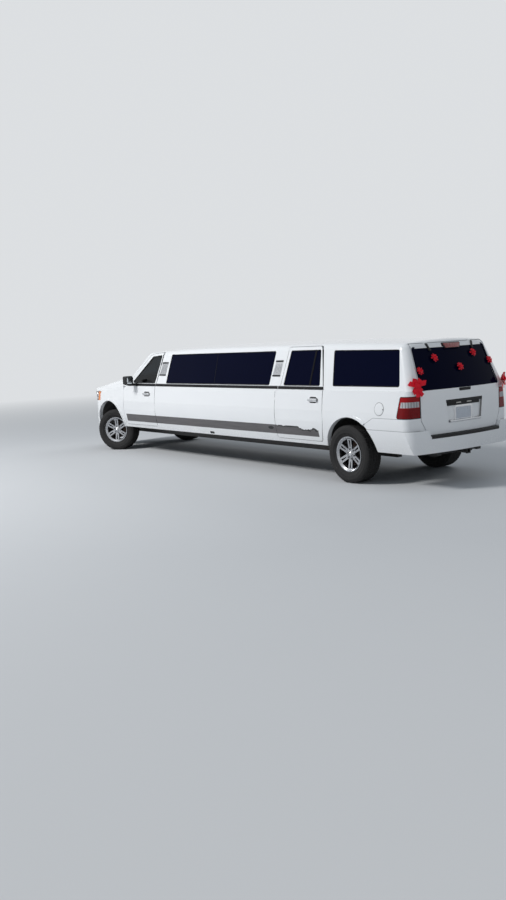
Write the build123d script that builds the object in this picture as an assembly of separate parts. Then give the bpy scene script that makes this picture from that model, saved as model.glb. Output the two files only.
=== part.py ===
from build123d import *
import os
from math import cos, hypot, radians, sin, sqrt

# Stretch limousine on a long full-size utility base, in millimetres.
# +X is forward, +Y is the left side, +Z is up, and the origin is on the floor under the middle.

# Overall sizes and where the wheels stand
LENGTH = 9240.0
FRONT_X = LENGTH / 2
REAR_X = -LENGTH / 2
REAR_OVERHANG = 1330.0
WHEELBASE = 6960.0
REAR_AXLE_X = REAR_X + REAR_OVERHANG
FRONT_AXLE_X = REAR_AXLE_X + WHEELBASE
WHEEL_Z = 405.0
GAP = 6.0
SEAT = 0.3
PIN_FIT = 0.05

# The two long panes of each side meet here, and the cabin's outlines are measured from it
CABIN_X = REAR_AXLE_X + 3290.0

# Side of the body: half widths, given as how far each height tucks in from the widest line
WIDE_Z = 1000.0
WIDE_HALF = 1000.0
SILL_Z = 495.0
SILL_HALF = WIDE_HALF - 70.0
HIP_Z = 740.0
HIP_HALF = WIDE_HALF - 10.0
BELT_Z = 1290.0
BELT_HALF = WIDE_HALF - 35.0
SHELF = 13.0
CANT_Z = 1935.0
CANT_HALF = WIDE_HALF - 210.0
ROOF_Z = 1975.0
ROOF_ROUND = 110.0
ROOF_HALF = CANT_HALF - 48.0
WALL = 62.0
REACH = 400.0
OUTER = WIDE_HALF + 150.0
HIGH = ROOF_Z + 225.0

# Roof falls gently to both ends
FRONT_DROP_X = CABIN_X + 700.0
FRONT_DROP = 1.2
REAR_DROP_X = CABIN_X - 2800.0
REAR_DROP = 1.5

# Tail: an arc in plan, upright below the belt and raked above it
TAIL_X = REAR_X + 58.0
TAIL_RADIUS = 4500.0
TAIL_RAKE = 0.406
TAIL_ROUND = 115.0
TAIL_ZONE_X = TAIL_X + 412.0

# Windscreen: an arc in plan, raked back
SCREEN_X = CABIN_X + 3235.0
SCREEN_RADIUS = 2600.0
SCREEN_RAKE = -1.4
SCREEN_TOP_X = CABIN_X + 2165.0

# Bonnet and nose
DASH_X = CABIN_X + 3104.0
BULKHEAD_X = DASH_X - 44.0
HOOD_SIDE_Z = 1435.0
HOOD_MID_Z = 1495.0
HOOD_SHOULDER = WIDE_HALF - 95.0
HOOD_ROUND = 85.0
HOOD_FALL = 9.2
COWL_TOP = HOOD_SIDE_Z + 12.0
HOOD_SPLIT = WIDE_HALF - 210.0
HOOD_THICK = 46.0
NOSE_RADIUS = 2200.0
NOSE_CORNER = 450.0
NOSE_FLARE = 8.0
NOSE_WALL = 60.0
NOSE_EASE = 200.0
LAMP_BOTTOM = 990.0
LAMP_TOP = 1180.0
LAMP_REAR_X = FRONT_X - 555.0
LAMP_INNER = 515.0
GRILLE_HALF = 500.0
GRILLE_BOTTOM = 795.0
GRILLE_BARS = 4
GRILLE_BAR = 16.0
GRILLE_RIM = 30.0
FRONT_BUMPER_X = FRONT_X - 498.0
BUMPER_BOTTOM = 440.0
INTAKE_HALF = 430.0
INTAKE_Z = (560.0, 690.0)
FOG_LAMP_Y = 640.0
FOG_LAMP_Z = 618.0
FOG_LAMP_RADIUS = 52.0
NOSE_ZONE_X = FRONT_X - 420.0

# Hinge blocks close the running gaps where the doors, bonnet and tailgate hang
HINGE_HIGH = 70.0
HINGE_LEVELS = (700.0, 1120.0)
HINGE_OUT = WIDE_HALF - 18.0
HINGE_IN = WIDE_HALF - 55.0
BONNET_HINGE_Y = 650.0
GATE_HINGE_Y = 430.0
GATE_HINGE_Z = 1890.0

# Wheel arches, as their centres in side view
ARCH_RADIUS = 505.0
FRONT_ARCH = (FRONT_AXLE_X + 20.0, 485.0)
REAR_ARCH = (REAR_AXLE_X - 50.0, 422.0)
LIP_WIDTH = 38.0
LIP_PROUD = 12.0
LINER = 12.0
LINER_IN = 560.0

# Door cuts in side view, and the bevel that lets each one swing
FRONT_DOOR_X = DASH_X - 18.0
REAR_DOOR_X = CABIN_X - 1703.0
QUARTER_X = CABIN_X - 2735.0
DOOR_FOOT_Z = 552.0
DOOR_BEVEL = 0.14
DOOR_ROUND = 45.0
WINDOW_FOOT_Z = 1345.0
WINDOW_TOP_Z = 1860.0
WINDOW_ROUND = 28.0
GLASS = 5.0
GLASS_DEPTH = 8.0
PANE_FIT = 0.5
MIDDLE_JOINT = 5.0


def stations(points):
    """Side-view points measured from the middle joint, put in the car's own x."""
    return [(CABIN_X + x, z) for x, z in points]


def symmetric(points):
    """A rear-view outline from its left half, given as insets from the widest line and heights."""
    left = [(WIDE_HALF - inset, z) for inset, z in points]
    return left + [(-y, z) for y, z in reversed(left)]


FRONT_DOOR = [(FRONT_DOOR_X, DOOR_FOOT_Z), (FRONT_DOOR_X, 1240)] + stations(
    [(2985, 1300), (2240, 1840), (2120, 1880), (1745, 1898), (1897, BELT_Z), (1897, DOOR_FOOT_Z)]
)
REAR_DOOR = [(REAR_DOOR_X, DOOR_FOOT_Z), (REAR_DOOR_X, 1250)] + stations(
    [(-1812, 1345), (-1905, 1908), (-2672, 1908), (-2798, BELT_Z), (-2798, 815), (-2745, DOOR_FOOT_Z)]
)
FRONT_WINDOW = stations([(2812, WINDOW_FOOT_Z), (2142, 1834), (1802, 1858), (1938, WINDOW_FOOT_Z)])
REAR_WINDOW = stations(
    [(-1872, WINDOW_FOOT_Z), (-1955, WINDOW_TOP_Z), (-2632, WINDOW_TOP_Z), (-2712, WINDOW_FOOT_Z)]
)
LONG_WINDOW = stations(
    [(1548, WINDOW_FOOT_Z), (1470, WINDOW_TOP_Z), (-1590, WINDOW_TOP_Z), (-1525, WINDOW_FOOT_Z)]
)
QUARTER_WINDOW = stations([(-2985, WINDOW_FOOT_Z), (-2915, 1845), (-4180, 1828), (-4273, WINDOW_FOOT_Z)])
SCREEN_EDGE = [(FRONT_DOOR_X + GAP, 1240)] + stations([(2985, 1307), (2240, 1848), (2165, 1872)])
WINDSCREEN = symmetric([(148, 1462), (264, 1882)])
TAILGATE = symmetric([(328, 706), (224, 905), (220, BELT_Z), (294, 1890)])
TAIL_OPENING = symmetric([(320, 697), (215, 900), (211, BELT_Z), (285, 1896)])
TAIL_GLASS = symmetric([(252, 1287), (305, 1828)])
PLATE_RECESS = symmetric([(678, 842), (638, 1140)])

# Tailgate fittings
PLATE_Z = 995.0
PLATE_DEPTH = 30.0
PLATE_SPACING = 178.0
PLATE_HOLE = 3.3
HIGH_LAMP_HALF = 180.0
HIGH_LAMP_Z = (1834.0, 1880.0)

# Tail lamps: an outline in side view whose front edge leans, and where they stop inboard
TAIL_LAMP_Z = (937.0, 1226.0)
TAIL_LAMP_FRONT = (CABIN_X - 4262.0, CABIN_X - 4316.0)
TAIL_LAMP_IN = WIDE_HALF - 240.0
TAIL_LAMP_ROUND = 26.0

# Rear bumper: its ends climb to the lamps, and its middle drops to the loading step
STEP_Z = 692.0
STEP_HALF = WIDE_HALF - 310.0
BUMPER_TOP = 935.0
BUMPER_SEAM_Z = 775.0
BUMPER_WRAP_X = REAR_AXLE_X - 350.0
BUMPER_WRAP_Z = 834.0
BUMPER_CLIMB_X = REAR_AXLE_X - 542.0
BUMPER_PROUD = 9.0
REAR_BUMPER_BOTTOM = 472.0
BUMPER_CORNER = 190.0

# Door handles
HANDLE_Z = 1148.0
HANDLE_TALL = 44.0
HANDLE_IN = WIDE_HALF - 28.0
HANDLE_OUT = WIDE_HALF + 8.0
FRONT_HANDLE = (CABIN_X + 2075.0, CABIN_X + 2300.0)
REAR_HANDLE = (CABIN_X - 2698.0, CABIN_X - 2500.0)

# Mirrors on the front doors
MIRROR_X = (CABIN_X + 2556.0, CABIN_X + 2700.0)
MIRROR_Y = (WIDE_HALF + 28.0, WIDE_HALF + 198.0)
MIRROR_Z = (1326.0, 1488.0)
MIRROR_ROUND = 32.0

# Wheels and tyres
TYRE_RADIUS = WHEEL_Z
TYRE_WIDTH = 275.0
HALF_TYRE = TYRE_WIDTH / 2
RIM_RADIUS = 248.0
RIM_WIDTH = 232.0
HALF_RIM = RIM_WIDTH / 2
BEAD_RADIUS = 229.0
TYRE_EYE = BEAD_RADIUS + SEAT
BARREL = 205.0
HALF_TRACK = WIDE_HALF - 150.0
HUB_BORE = 38.6
SPIGOT_FIT = 0.05
HUB_FACE = 62.0
HUB_SEAT = 28.0
HUB_PLATE = 86.0
SPOKES = 6
SPOKE_ROOT = 34.0
SPOKE_TIP = 41.0
SPOKE_FACE = 88.0
SLOT_ROOT = 6.0
SLOT_TIP = 13.0
LUG_CIRCLE = 67.5
KINGPIN_Y = HALF_TRACK - 70.0
REST_STEER = 30.0
DISC_RADIUS = 165.0
DISC_Y = -18.0
LOWER_BALL_Z = 290.0
UPPER_BALL_Z = 520.0
BALL = 15.0
BALL_PIN = 8.0

# Frame, axle and what hangs under the floor
FLOOR_BOTTOM = 500.0
FLOOR_TOP = 544.0
AXLE_TUBE = 42.0
AXLE_MIDDLE = 92.0
RAIL_OUT = 440.0
RAIL_WIDTH = 80.0
RAIL_BOTTOM = 330.0
RAIL_FRONT = FRONT_X - 180.0
RAIL_REAR = REAR_X + 180.0
KICK_X = REAR_AXLE_X - 430.0
KICK_Z = 400.0
CROSS_WIDTH = 90.0
CROSS_DEEP = 80.0
CROSS_MEMBERS = (
    RAIL_FRONT - 100.0, FRONT_AXLE_X + 290.0, FRONT_AXLE_X - 290.0, CABIN_X + 2200.0, CABIN_X + 800.0,
    CABIN_X - 600.0, CABIN_X - 2500.0, RAIL_REAR + 60.0,
)
RECEIVER = 31.75
RECEIVER_BORE = 25.4
RECEIVER_Z = 437.0
RECEIVER_X = (REAR_X + 28.0, REAR_X + 230.0)
DRAW_TUBE_X = REAR_X + 220.0
PIN_X = REAR_X + 90.0
PIN_RADIUS = 8.0
ENGINE_X = (FRONT_AXLE_X - 330.0, FRONT_AXLE_X + 330.0)
EXHAUST_Y = -200.0
EXHAUST_Z = 372.0
EXHAUST_RADIUS = 32.0

# Cabin fittings
INSIDE_HALF = WIDE_HALF - 110.0
WHEEL_AT = (CABIN_X + 2640.0, 400.0, 1130.0)
PARTITION_X = (CABIN_X + 1560.0, CABIN_X + 1600.0)
BENCH_X = (CABIN_X - 2750.0, CABIN_X + 1200.0)
BENCH_FRONT_Y = -420.0

os.makedirs("parts", exist_ok=True)


def save(shape, name):
    export_step(shape, "parts/" + name + ".step")


def block(x0, x1, y0, y1, z0, z1):
    return Pos((x0 + x1) / 2, (y0 + y1) / 2, (z0 + z1) / 2) * Box(abs(x1 - x0), abs(y1 - y0), abs(z1 - z0))


def rod(start, end, radius):
    axis = Vector(*end) - Vector(*start)
    return extrude(Plane(origin=start, z_dir=axis) * Circle(radius), amount=axis.length)


def both(shape):
    return shape + mirror(shape, about=Plane.XZ)


def save_pair(shape, name):
    """Saves a left-hand piece and its mirror image."""
    save(shape, name + "_left")
    save(mirror(shape, about=Plane.XZ), name + "_right")


def side_face(points, y, rounds=()):
    face = make_face(Polyline(*[(x, y, z) for x, z in points], close=True))
    for radius, indices in rounds:
        corners = [points[i] for i in indices]
        picked = [min(face.vertices(), key=lambda v: hypot(v.X - x, v.Z - z)) for x, z in corners]
        face = fillet(picked, radius)
    return face


def side_prism(points, y0, y1, rounds=()):
    """An outline in side view, given as x and z, made into a prism from y0 to y1."""
    return extrude(side_face(points, y0, rounds), amount=abs(y1 - y0), dir=(0, 1 if y1 > y0 else -1, 0))


def rear_prism(points, x0, x1, rounds=()):
    """An outline seen from behind, given as y and z, made into a prism from x0 to x1."""
    face = make_face(Polyline(*[(x0, y, z) for y, z in points], close=True))
    for radius, indices in rounds:
        corners = [points[i] for i in indices]
        picked = [min(face.vertices(), key=lambda v: hypot(v.Y - y, v.Z - z)) for y, z in corners]
        face = fillet(picked, radius)
    return extrude(face, amount=abs(x1 - x0), dir=(1 if x1 > x0 else -1, 0, 0))


# The envelope of the cabin: prisms along the car, some of them sloped, crossed with raked plan arcs
def flank_edges(x0, inset, way):
    """One flank from the belt down to the sill: a straight run in from the widest line, then an arc."""
    return [
        Line((x0, way * (BELT_HALF - inset), BELT_Z), (x0, way * (WIDE_HALF - inset), WIDE_Z)),
        ThreePointArc(
            (x0, way * (WIDE_HALF - inset), WIDE_Z),
            (x0, way * (HIP_HALF - inset), HIP_Z),
            (x0, way * (SILL_HALF - inset), SILL_Z),
        ),
    ]


def lower_prism(inset, x0, x1):
    foot = Line((x0, -SILL_HALF + inset, SILL_Z), (x0, SILL_HALF - inset, SILL_Z))
    head = Line((x0, -BELT_HALF + inset, BELT_Z), (x0, BELT_HALF - inset, BELT_Z))
    rim = flank_edges(x0, inset, 1) + flank_edges(x0, inset, -1) + [foot, head]
    return extrude(make_face(Wire(rim)), amount=x1 - x0, dir=(1, 0, 0))


def upper_prism(inset, x0, x1, slope):
    half = BELT_HALF - SHELF - inset
    cant = CANT_HALF - inset
    top = CANT_Z - inset
    crown = ROOF_Z - inset
    edges = [
        Line((x0, -cant, top), (x0, -half, BELT_Z)),
        Line((x0, -half, BELT_Z), (x0, half, BELT_Z)),
        Line((x0, half, BELT_Z), (x0, cant, top)),
        ThreePointArc((x0, cant, top), (x0, 0, crown), (x0, -cant, top)),
    ]
    face = make_face(Wire(edges))
    corners = [v for v in face.vertices() if v.Z > BELT_Z + 1]
    face = fillet(corners, ROOF_ROUND - inset * 0.5)
    way = 1 if x1 > x0 else -1
    tilt = radians(slope)
    return extrude(face, amount=abs(x1 - x0), dir=(way * cos(tilt), 0, -sin(tilt)))


def plan_arc(x, radius, height, rake, z, back):
    """A slab bounded by an arc in plan, leaning by its rake, on the side away from the arc's bulge."""
    sag = radius - sqrt(radius * radius - OUTER * OUTER)
    edge = x + sag if not back else x - sag
    far = REACH + FRONT_X if not back else REAR_X - REACH
    arc = ThreePointArc((edge, OUTER, z), (x, 0, z), (edge, -OUTER, z))
    rim = Polyline((edge, -OUTER, z), (far, -OUTER, z), (far, OUTER, z), (edge, OUTER, z))
    face = make_face(Wire([arc] + rim.edges()))
    return extrude(face, amount=height * hypot(1, rake), dir=(rake, 0, 1))


def bowed_plan(tip, radius, half, corner, base):
    """A tall slab from base to tip, whose end is an arc in plan with rounded corners."""
    way = 1 if tip > base else -1
    edge = tip - way * (radius - sqrt(radius ** 2 - half ** 2))
    arc = ThreePointArc((edge, half, 0), (tip, 0, 0), (edge, -half, 0))
    rim = Polyline((edge, -half, 0), (base, -half, 0), (base, half, 0), (edge, half, 0)).edges()
    face = make_face(Wire([arc] + rim))
    corners = [v for v in face.vertices() if abs(v.X - base) > 1]
    return extrude(fillet(corners, corner), amount=ROOF_Z, dir=(0, 0, 1))


def tail_corners(shape):
    return [
        e
        for e in shape.edges()
        if e.center().X < TAIL_X + 500
        and abs(e.center().Y) > CANT_HALF - 120
        and e.bounding_box().size.Z > 300
    ]


def body(inset):
    """The cabin's lower and upper forms, so far inside the outer skin."""
    tall = HIGH - BELT_Z
    low = lower_prism(inset, REAR_X - REACH, DASH_X)
    low = low & plan_arc(TAIL_X + inset, TAIL_RADIUS, BELT_Z - SILL_Z + 200, 0, SILL_Z - 100, False)
    low = fillet(tail_corners(low), TAIL_ROUND - inset)
    front = upper_prism(inset, FRONT_DROP_X, DASH_X + REACH, FRONT_DROP)
    front = front + upper_prism(inset, REAR_X - REACH, FRONT_DROP_X, 0)
    rear = upper_prism(inset, REAR_DROP_X, REAR_X - REACH, REAR_DROP)
    rear = rear + upper_prism(inset, REAR_DROP_X, DASH_X + REACH, 0)
    high = front & rear
    high = high & plan_arc(TAIL_X + inset, TAIL_RADIUS, tall, TAIL_RAKE, BELT_Z, False)
    high = high & plan_arc(SCREEN_X - inset * 1.6, SCREEN_RADIUS, tall, SCREEN_RAKE, BELT_Z, True)
    high = fillet(tail_corners(high), TAIL_ROUND - inset)
    return low, high


# The envelope of the front clip: a sloped crowned top, the sides and the nose in plan and in profile
def lower_outline(inset):
    """The front clip's section: the cabin's flanks carried up into the wings and down behind the bumper."""
    x0 = DASH_X
    hem_half = SILL_HALF - 40 - inset
    hem_z = BUMPER_BOTTOM - 70
    brow_half = HOOD_SHOULDER - inset
    brow_z = HOOD_MID_Z + 100
    rim = []
    for way in (1, -1):
        rim += flank_edges(x0, inset, way)
        rim.append(Line((x0, way * (SILL_HALF - inset), SILL_Z), (x0, way * hem_half, hem_z)))
        rim.append(Line((x0, way * (BELT_HALF - inset), BELT_Z), (x0, way * brow_half, brow_z)))
    foot = Line((x0, -hem_half, hem_z), (x0, hem_half, hem_z))
    head = Line((x0, -brow_half, brow_z), (x0, brow_half, brow_z))
    return make_face(Wire(rim + [foot, head]))


def nose_clip(inset):
    x0 = DASH_X - 60
    rise = 60 * sin(radians(HOOD_FALL))
    side = HOOD_SIDE_Z + rise - inset
    mid = HOOD_MID_Z + rise - inset
    shoulder = HOOD_SHOULDER - inset
    flank = WIDE_HALF + 40 - inset
    edges = Polyline(
        (x0, shoulder, side), (x0, flank, side - 260), (x0, flank, 0),
        (x0, -flank, 0), (x0, -flank, side - 260), (x0, -shoulder, side),
    ).edges()
    crown = ThreePointArc((x0, shoulder, side), (x0, 0, mid), (x0, -shoulder, side))
    face = make_face(Wire(edges + [crown]))
    corners = [v for v in face.vertices() if v.Z > side - 1]
    face = fillet(corners, HOOD_ROUND)
    fall = radians(HOOD_FALL)
    deck = extrude(face, amount=FRONT_X - x0 + REACH, dir=(cos(fall), 0, -sin(fall)))
    sides = extrude(lower_outline(inset), amount=FRONT_X - DASH_X + REACH, dir=(1, 0, 0))
    tip = FRONT_X - inset
    plan = bowed_plan(tip, NOSE_RADIUS, WIDE_HALF + NOSE_FLARE - inset, NOSE_CORNER - inset, DASH_X)
    profile = side_prism(
        [
            (DASH_X, BUMPER_BOTTOM - 60), (tip - 60, BUMPER_BOTTOM - 60), (tip, BUMPER_BOTTOM + 60),
            (tip, 700), (tip - 34, 765), (tip - 78, 1085 - inset),
            (tip - 140, 1192 - inset), (tip - 235, 1264 - inset),
            (tip - 385, 1334 - inset), (DASH_X, 1750),
        ],
        -OUTER, OUTER, [(NOSE_EASE, [5, 6, 7, 8])],
    )
    return profile & plan & deck & sides


# Wheel arches: a round opening, a lip that follows the flank, and a liner behind it
def arch_disc(arch, radius, y0, y1):
    x, z = arch
    return Pos(x, (y0 + y1) / 2, z) * Rot(90, 0, 0) * Cylinder(radius, abs(y1 - y0))


def arch_lip(arch):
    x, z = arch
    reach = ARCH_RADIUS + REACH
    flank = lower_prism(-LIP_PROUD, x - reach, x + reach) - lower_prism(WALL, x - reach, x + reach)
    ring = arch_disc(arch, ARCH_RADIUS + LIP_WIDTH, LINER_IN, OUTER)
    return flank & ring & block(x - reach, x + reach, 0, OUTER, SILL_Z, BELT_Z)


def arch_liner(arch, inner):
    x, z = arch
    reach = ARCH_RADIUS + REACH
    tub = arch_disc(arch, ARCH_RADIUS + LINER, inner, OUTER) - arch_disc(arch, ARCH_RADIUS, inner, OUTER)
    zone = block(x - reach, x + reach, 0, OUTER, SILL_Z, BELT_Z)
    return tub & lower_prism(WALL + SEAT, x - reach, x + reach) & zone


def arch_hole(arch):
    return both(arch_disc(arch, ARCH_RADIUS, LINER_IN, OUTER))


# Cuts through the side for doors and windows
def straight(outline, rounds, grow=0.0):
    face = side_face(outline, OUTER, rounds)
    if grow:
        face = offset(face, amount=grow, kind=Kind.INTERSECTION)
    return extrude(face, amount=OUTER - ROOF_HALF + 150, dir=(0, -1, 0))


def bevelled(outline, rounds):
    """The same outline leaning forward as it goes inboard, so that the door's rear edge swings clear."""
    face = side_face(outline, WIDE_HALF, rounds)
    depth = WIDE_HALF - ROOF_HALF + 150
    return extrude(face, amount=depth * hypot(1, DOOR_BEVEL), dir=(DOOR_BEVEL, -1, 0))


def window(outline):
    return straight(outline, [(WINDOW_ROUND, range(4))])


def pane(outline):
    return glass_skin & straight(outline, [(WINDOW_ROUND, range(4))], -PANE_FIT)


def handle(x0, x1):
    """A pull bar of a door, hollow behind for the fingers."""
    half = HANDLE_TALL / 2
    bar = block(x0, x1, HANDLE_IN, HANDLE_OUT, HANDLE_Z - half, HANDLE_Z + half)
    bar = fillet(bar.edges().filter_by(Axis.Z), 12)
    return bar - block(x0 + 30, x1 - 30, HANDLE_IN, HANDLE_OUT - 14, HANDLE_Z - half + 6, HANDLE_Z + half - 6)


def door_hinges(x):
    """Two hinge blocks that close the running gap at a door's front edge."""
    blocks = [block(x + SEAT, x + GAP, HINGE_IN, HINGE_OUT, z, z + HINGE_HIGH) for z in HINGE_LEVELS]
    return blocks[0] + blocks[1]


def ring(points, rounds=()):
    """A profile given as radius and offset along the axle, spun about the Y axis."""
    face = make_face(Polyline(*[(r, y, 0) for r, y in points], close=True))
    for radius, indices in rounds:
        corners = [points[i] for i in indices]
        picked = [min(face.vertices(), key=lambda v: hypot(v.X - r, v.Y - y)) for r, y in corners]
        face = fillet(picked, radius)
    return revolve(face, axis=Axis.Y)


def placed(shape, axle_x, side, turn):
    """Puts a left-hand shape on its axle, mirrored for the right, and turned about the kingpin."""
    if side < 0:
        shape = mirror(shape, about=Plane.XZ)
    shape = Pos(0, side * (HALF_TRACK - KINGPIN_Y), 0) * shape
    return Pos(axle_x, side * KINGPIN_Y, WHEEL_Z) * Rot(0, 0, turn) * shape


def wedge(start, end, root, tip):
    """A tapered bar from one radius to another, seen along the axle, through the whole wheel."""
    return side_prism([(start, -root), (start, root), (end, tip), (end, -tip)], 0, 200)


def seat(x, y0, y1, foot):
    """A cushion and a leaning back, facing forward."""
    cushion = fillet(block(x - 20, x + 520, y0, y1, foot, foot + 300).edges().filter_by(Axis.Y), 50)
    outline = [(x, foot + 180), (x + 140, foot + 180), (x - 20, foot + 850), (x - 140, foot + 850)]
    back = side_prism(outline, y0, y1, [(40, (2, 3))])
    return cushion + back


outer_low, outer_high = body(0)
inner_low, inner_high = body(WALL)
glass_skin = body(GLASS_DEPTH)[1] - body(GLASS_DEPTH + GLASS)[1]
low_wall = (outer_low - inner_low) + both(arch_lip(REAR_ARCH)) - arch_hole(REAR_ARCH)
high_wall = outer_high - inner_high
front_rounds = [(DOOR_ROUND, (0, 7)), (18, (5,))]
rear_rounds = [(DOOR_ROUND, (0, 7)), (18, (3,)), (60, (4,))]
front_opening = straight(FRONT_DOOR, front_rounds, GAP)
rear_opening = straight(REAR_DOOR, rear_rounds, GAP)
left_wall = (low_wall + high_wall) & block(REAR_X - REACH, DASH_X, 0, OUTER, 0, HIGH)
roof_edge = block(REAR_X, SCREEN_TOP_X + 200, -ROOF_HALF - GAP, ROOF_HALF + GAP, CANT_Z - 235, HIGH)
tail_grown = rear_prism(TAIL_OPENING, REAR_X - REACH, TAIL_ZONE_X)


# Doors: each one the whole thickness of the wall, with its window cut and a handle

doors = (
    # name, outline, rounds, window, handle
    ("front_door", FRONT_DOOR, front_rounds, FRONT_WINDOW, FRONT_HANDLE),
    ("rear_door", REAR_DOOR, rear_rounds, REAR_WINDOW, REAR_HANDLE),
)
for name, outline, rounds, opening, grip in doors:
    door = left_wall & straight(outline, rounds) & bevelled(outline, rounds)
    door = door - window(opening) - roof_edge
    door = door + (handle(*grip) - inner_low)
    save_pair(door, name)
    save_pair(pane(opening), name + "_glass")

# Rear bumper: flush above its seam, a little proud below it, with a flat step in the middle
bumper_side = side_prism(
    [
        (BUMPER_WRAP_X, 300), (BUMPER_WRAP_X, BUMPER_WRAP_Z), (BUMPER_CLIMB_X, BUMPER_TOP),
        (REAR_X - REACH, BUMPER_TOP), (REAR_X - REACH, 300),
    ],
    -OUTER, OUTER,
)
above_step = block(REAR_X - REACH, TAIL_X + 350, -STEP_HALF, STEP_HALF, STEP_Z, LAMP_TOP)
rear_bumper_zone = bumper_side - above_step - tail_grown
bumper_low = lower_prism(-BUMPER_PROUD, REAR_X - REACH, REAR_AXLE_X)
bumper_hem = Pos(0, 0, REAR_BUMPER_BOTTOM - SILL_Z) * bumper_low
bumper_plan = bowed_plan(REAR_X, TAIL_RADIUS, WIDE_HALF + BUMPER_PROUD, BUMPER_CORNER, REAR_AXLE_X)
bumper_plan = bumper_plan & block(REAR_X - REACH, REAR_AXLE_X, -OUTER, OUTER, 0, BUMPER_SEAM_Z)
lower_form = (bumper_low + bumper_hem) & bumper_plan
upper_form = outer_low & block(REAR_X - REACH, REAR_AXLE_X, -OUTER, OUTER, BUMPER_SEAM_Z, BUMPER_TOP + 1)
bumper_hollow = block(TAIL_X + 82, REAR_AXLE_X, -SILL_HALF + 50, SILL_HALF - 50, 400, SILL_Z + 25)
rear_bumper = ((lower_form + upper_form) & rear_bumper_zone) - inner_low - bumper_hollow
rear_bumper = rear_bumper - arch_hole(REAR_ARCH)
save(rear_bumper, "rear_bumper")

# Tailgate with its glass, plate recess and high brake lamp
tail_wall = (low_wall + high_wall) & block(REAR_X - REACH, TAIL_ZONE_X, -OUTER, OUTER, 0, HIGH)
tailgate = tail_wall & rear_prism(TAILGATE, REAR_X - REACH, TAIL_ZONE_X, [(30, (0, 7)), (40, (3, 4))])
glass_zone = rear_prism(TAIL_GLASS, REAR_X - REACH, TAIL_ZONE_X, [(35, range(4))])
tailgate = tailgate - glass_zone - rear_prism(PLATE_RECESS, REAR_X - REACH, TAIL_X + 12 + PLATE_DEPTH)
for y in (-PLATE_SPACING / 2, PLATE_SPACING / 2):
    tailgate = tailgate - rod((REAR_X, y, PLATE_Z), (TAIL_X + 262, y, PLATE_Z), PLATE_HOLE)
high_lamp_zone = block(REAR_X, TAIL_ZONE_X, -HIGH_LAMP_HALF, HIGH_LAMP_HALF, *HIGH_LAMP_Z)
high_lamp = (outer_high - body(GLASS_DEPTH + GLASS)[1]) & high_lamp_zone
save(tailgate - high_lamp, "tailgate")
save(high_lamp, "high_brake_lamp")
save(glass_skin & glass_zone, "tailgate_glass")

# Tail lamps wrap round the corners under the glass
left_lamp_zone = side_prism(
    [
        (TAIL_LAMP_FRONT[0], TAIL_LAMP_Z[0]), (TAIL_LAMP_FRONT[1], TAIL_LAMP_Z[1]),
        (REAR_X - REACH, TAIL_LAMP_Z[1]), (REAR_X - REACH, TAIL_LAMP_Z[0]),
    ],
    TAIL_LAMP_IN, OUTER, [(TAIL_LAMP_ROUND, (0, 1))],
)
save(both((left_wall & left_lamp_zone) - tail_grown), "tail_lamps")


# Roof, side panels and quarters

roof_zone = block(REAR_X - REACH, SCREEN_TOP_X, -ROOF_HALF, ROOF_HALF, CANT_Z - 235, HIGH)
screen_zone = side_prism(
    [(DASH_X + 496, 1240)] + SCREEN_EDGE + [(SCREEN_TOP_X, HIGH), (DASH_X + 496, HIGH)], -OUTER, OUTER
)
post_zone = block(FRONT_DOOR_X + GAP, DASH_X, -OUTER, OUTER, DOOR_FOOT_Z - GAP, 1240)
roof = (high_wall & roof_zone) - tail_grown - screen_zone
for y in (-GATE_HINGE_Y, GATE_HINGE_Y):
    hinge = block(TAIL_X + 277, TAIL_X + 312, y - 35, y + 35, GATE_HINGE_Z + SEAT, GATE_HINGE_Z + GAP + 4)
    roof = roof + hinge
save(roof, "roof")
panel = left_wall & block(QUARTER_X, DASH_X, 0, OUTER, 0, HIGH)
panel = panel - roof_zone - screen_zone - post_zone - front_opening - rear_opening - window(LONG_WINDOW)
save_pair(panel + door_hinges(REAR_DOOR_X), "side_panel")
quarter = left_wall & block(REAR_X - REACH, QUARTER_X, 0, OUTER, 0, HIGH)
quarter = quarter - roof_zone - tail_grown - rear_opening - window(QUARTER_WINDOW)
quarter = quarter - left_lamp_zone - bumper_side
save_pair(quarter, "quarter_panel")

# Fixed glass: two long panes a side that meet in the middle, and the quarter panes
joint = block(CABIN_X - MIDDLE_JOINT / 2, CABIN_X + MIDDLE_JOINT / 2, 0, OUTER, BELT_Z, ROOF_Z)
save(both(pane(LONG_WINDOW) - joint) + both(pane(QUARTER_WINDOW)), "side_windows")

# Windscreen frame: pillars, header, cowl and bulkhead in one piece
screen_pane = rear_prism(WINDSCREEN, SCREEN_TOP_X - 165, SCREEN_X + REACH, [(60, range(4))])
frame_shell = high_wall & screen_zone & block(SCREEN_TOP_X - REACH, DASH_X, -OUTER, OUTER, 1240, HIGH)
frame_shell = frame_shell - screen_pane
wings = extrude(lower_outline(8), amount=300, dir=(-1, 0, 0))
cowl = wings & block(DASH_X - 254, DASH_X, -OUTER, OUTER, BELT_Z, COWL_TOP)
cowl = cowl - outer_high - both(front_opening)
bulkhead = (inner_low + inner_high) & block(BULKHEAD_X, DASH_X, -OUTER, OUTER, FLOOR_TOP, COWL_TOP - 25)
screen_frame = frame_shell + (low_wall & post_zone) + cowl + bulkhead
screen_frame = screen_frame - both(front_opening) + both(door_hinges(FRONT_DOOR_X))
for y in (-BONNET_HINGE_Y, BONNET_HINGE_Y):
    knob = block(DASH_X - 10, DASH_X + GAP - SEAT, y - 40, y + 40, COWL_TOP - 22, COWL_TOP - 2)
    screen_frame = screen_frame + knob
save(screen_frame, "windscreen_frame")
save(glass_skin & screen_pane, "windscreen")

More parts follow.
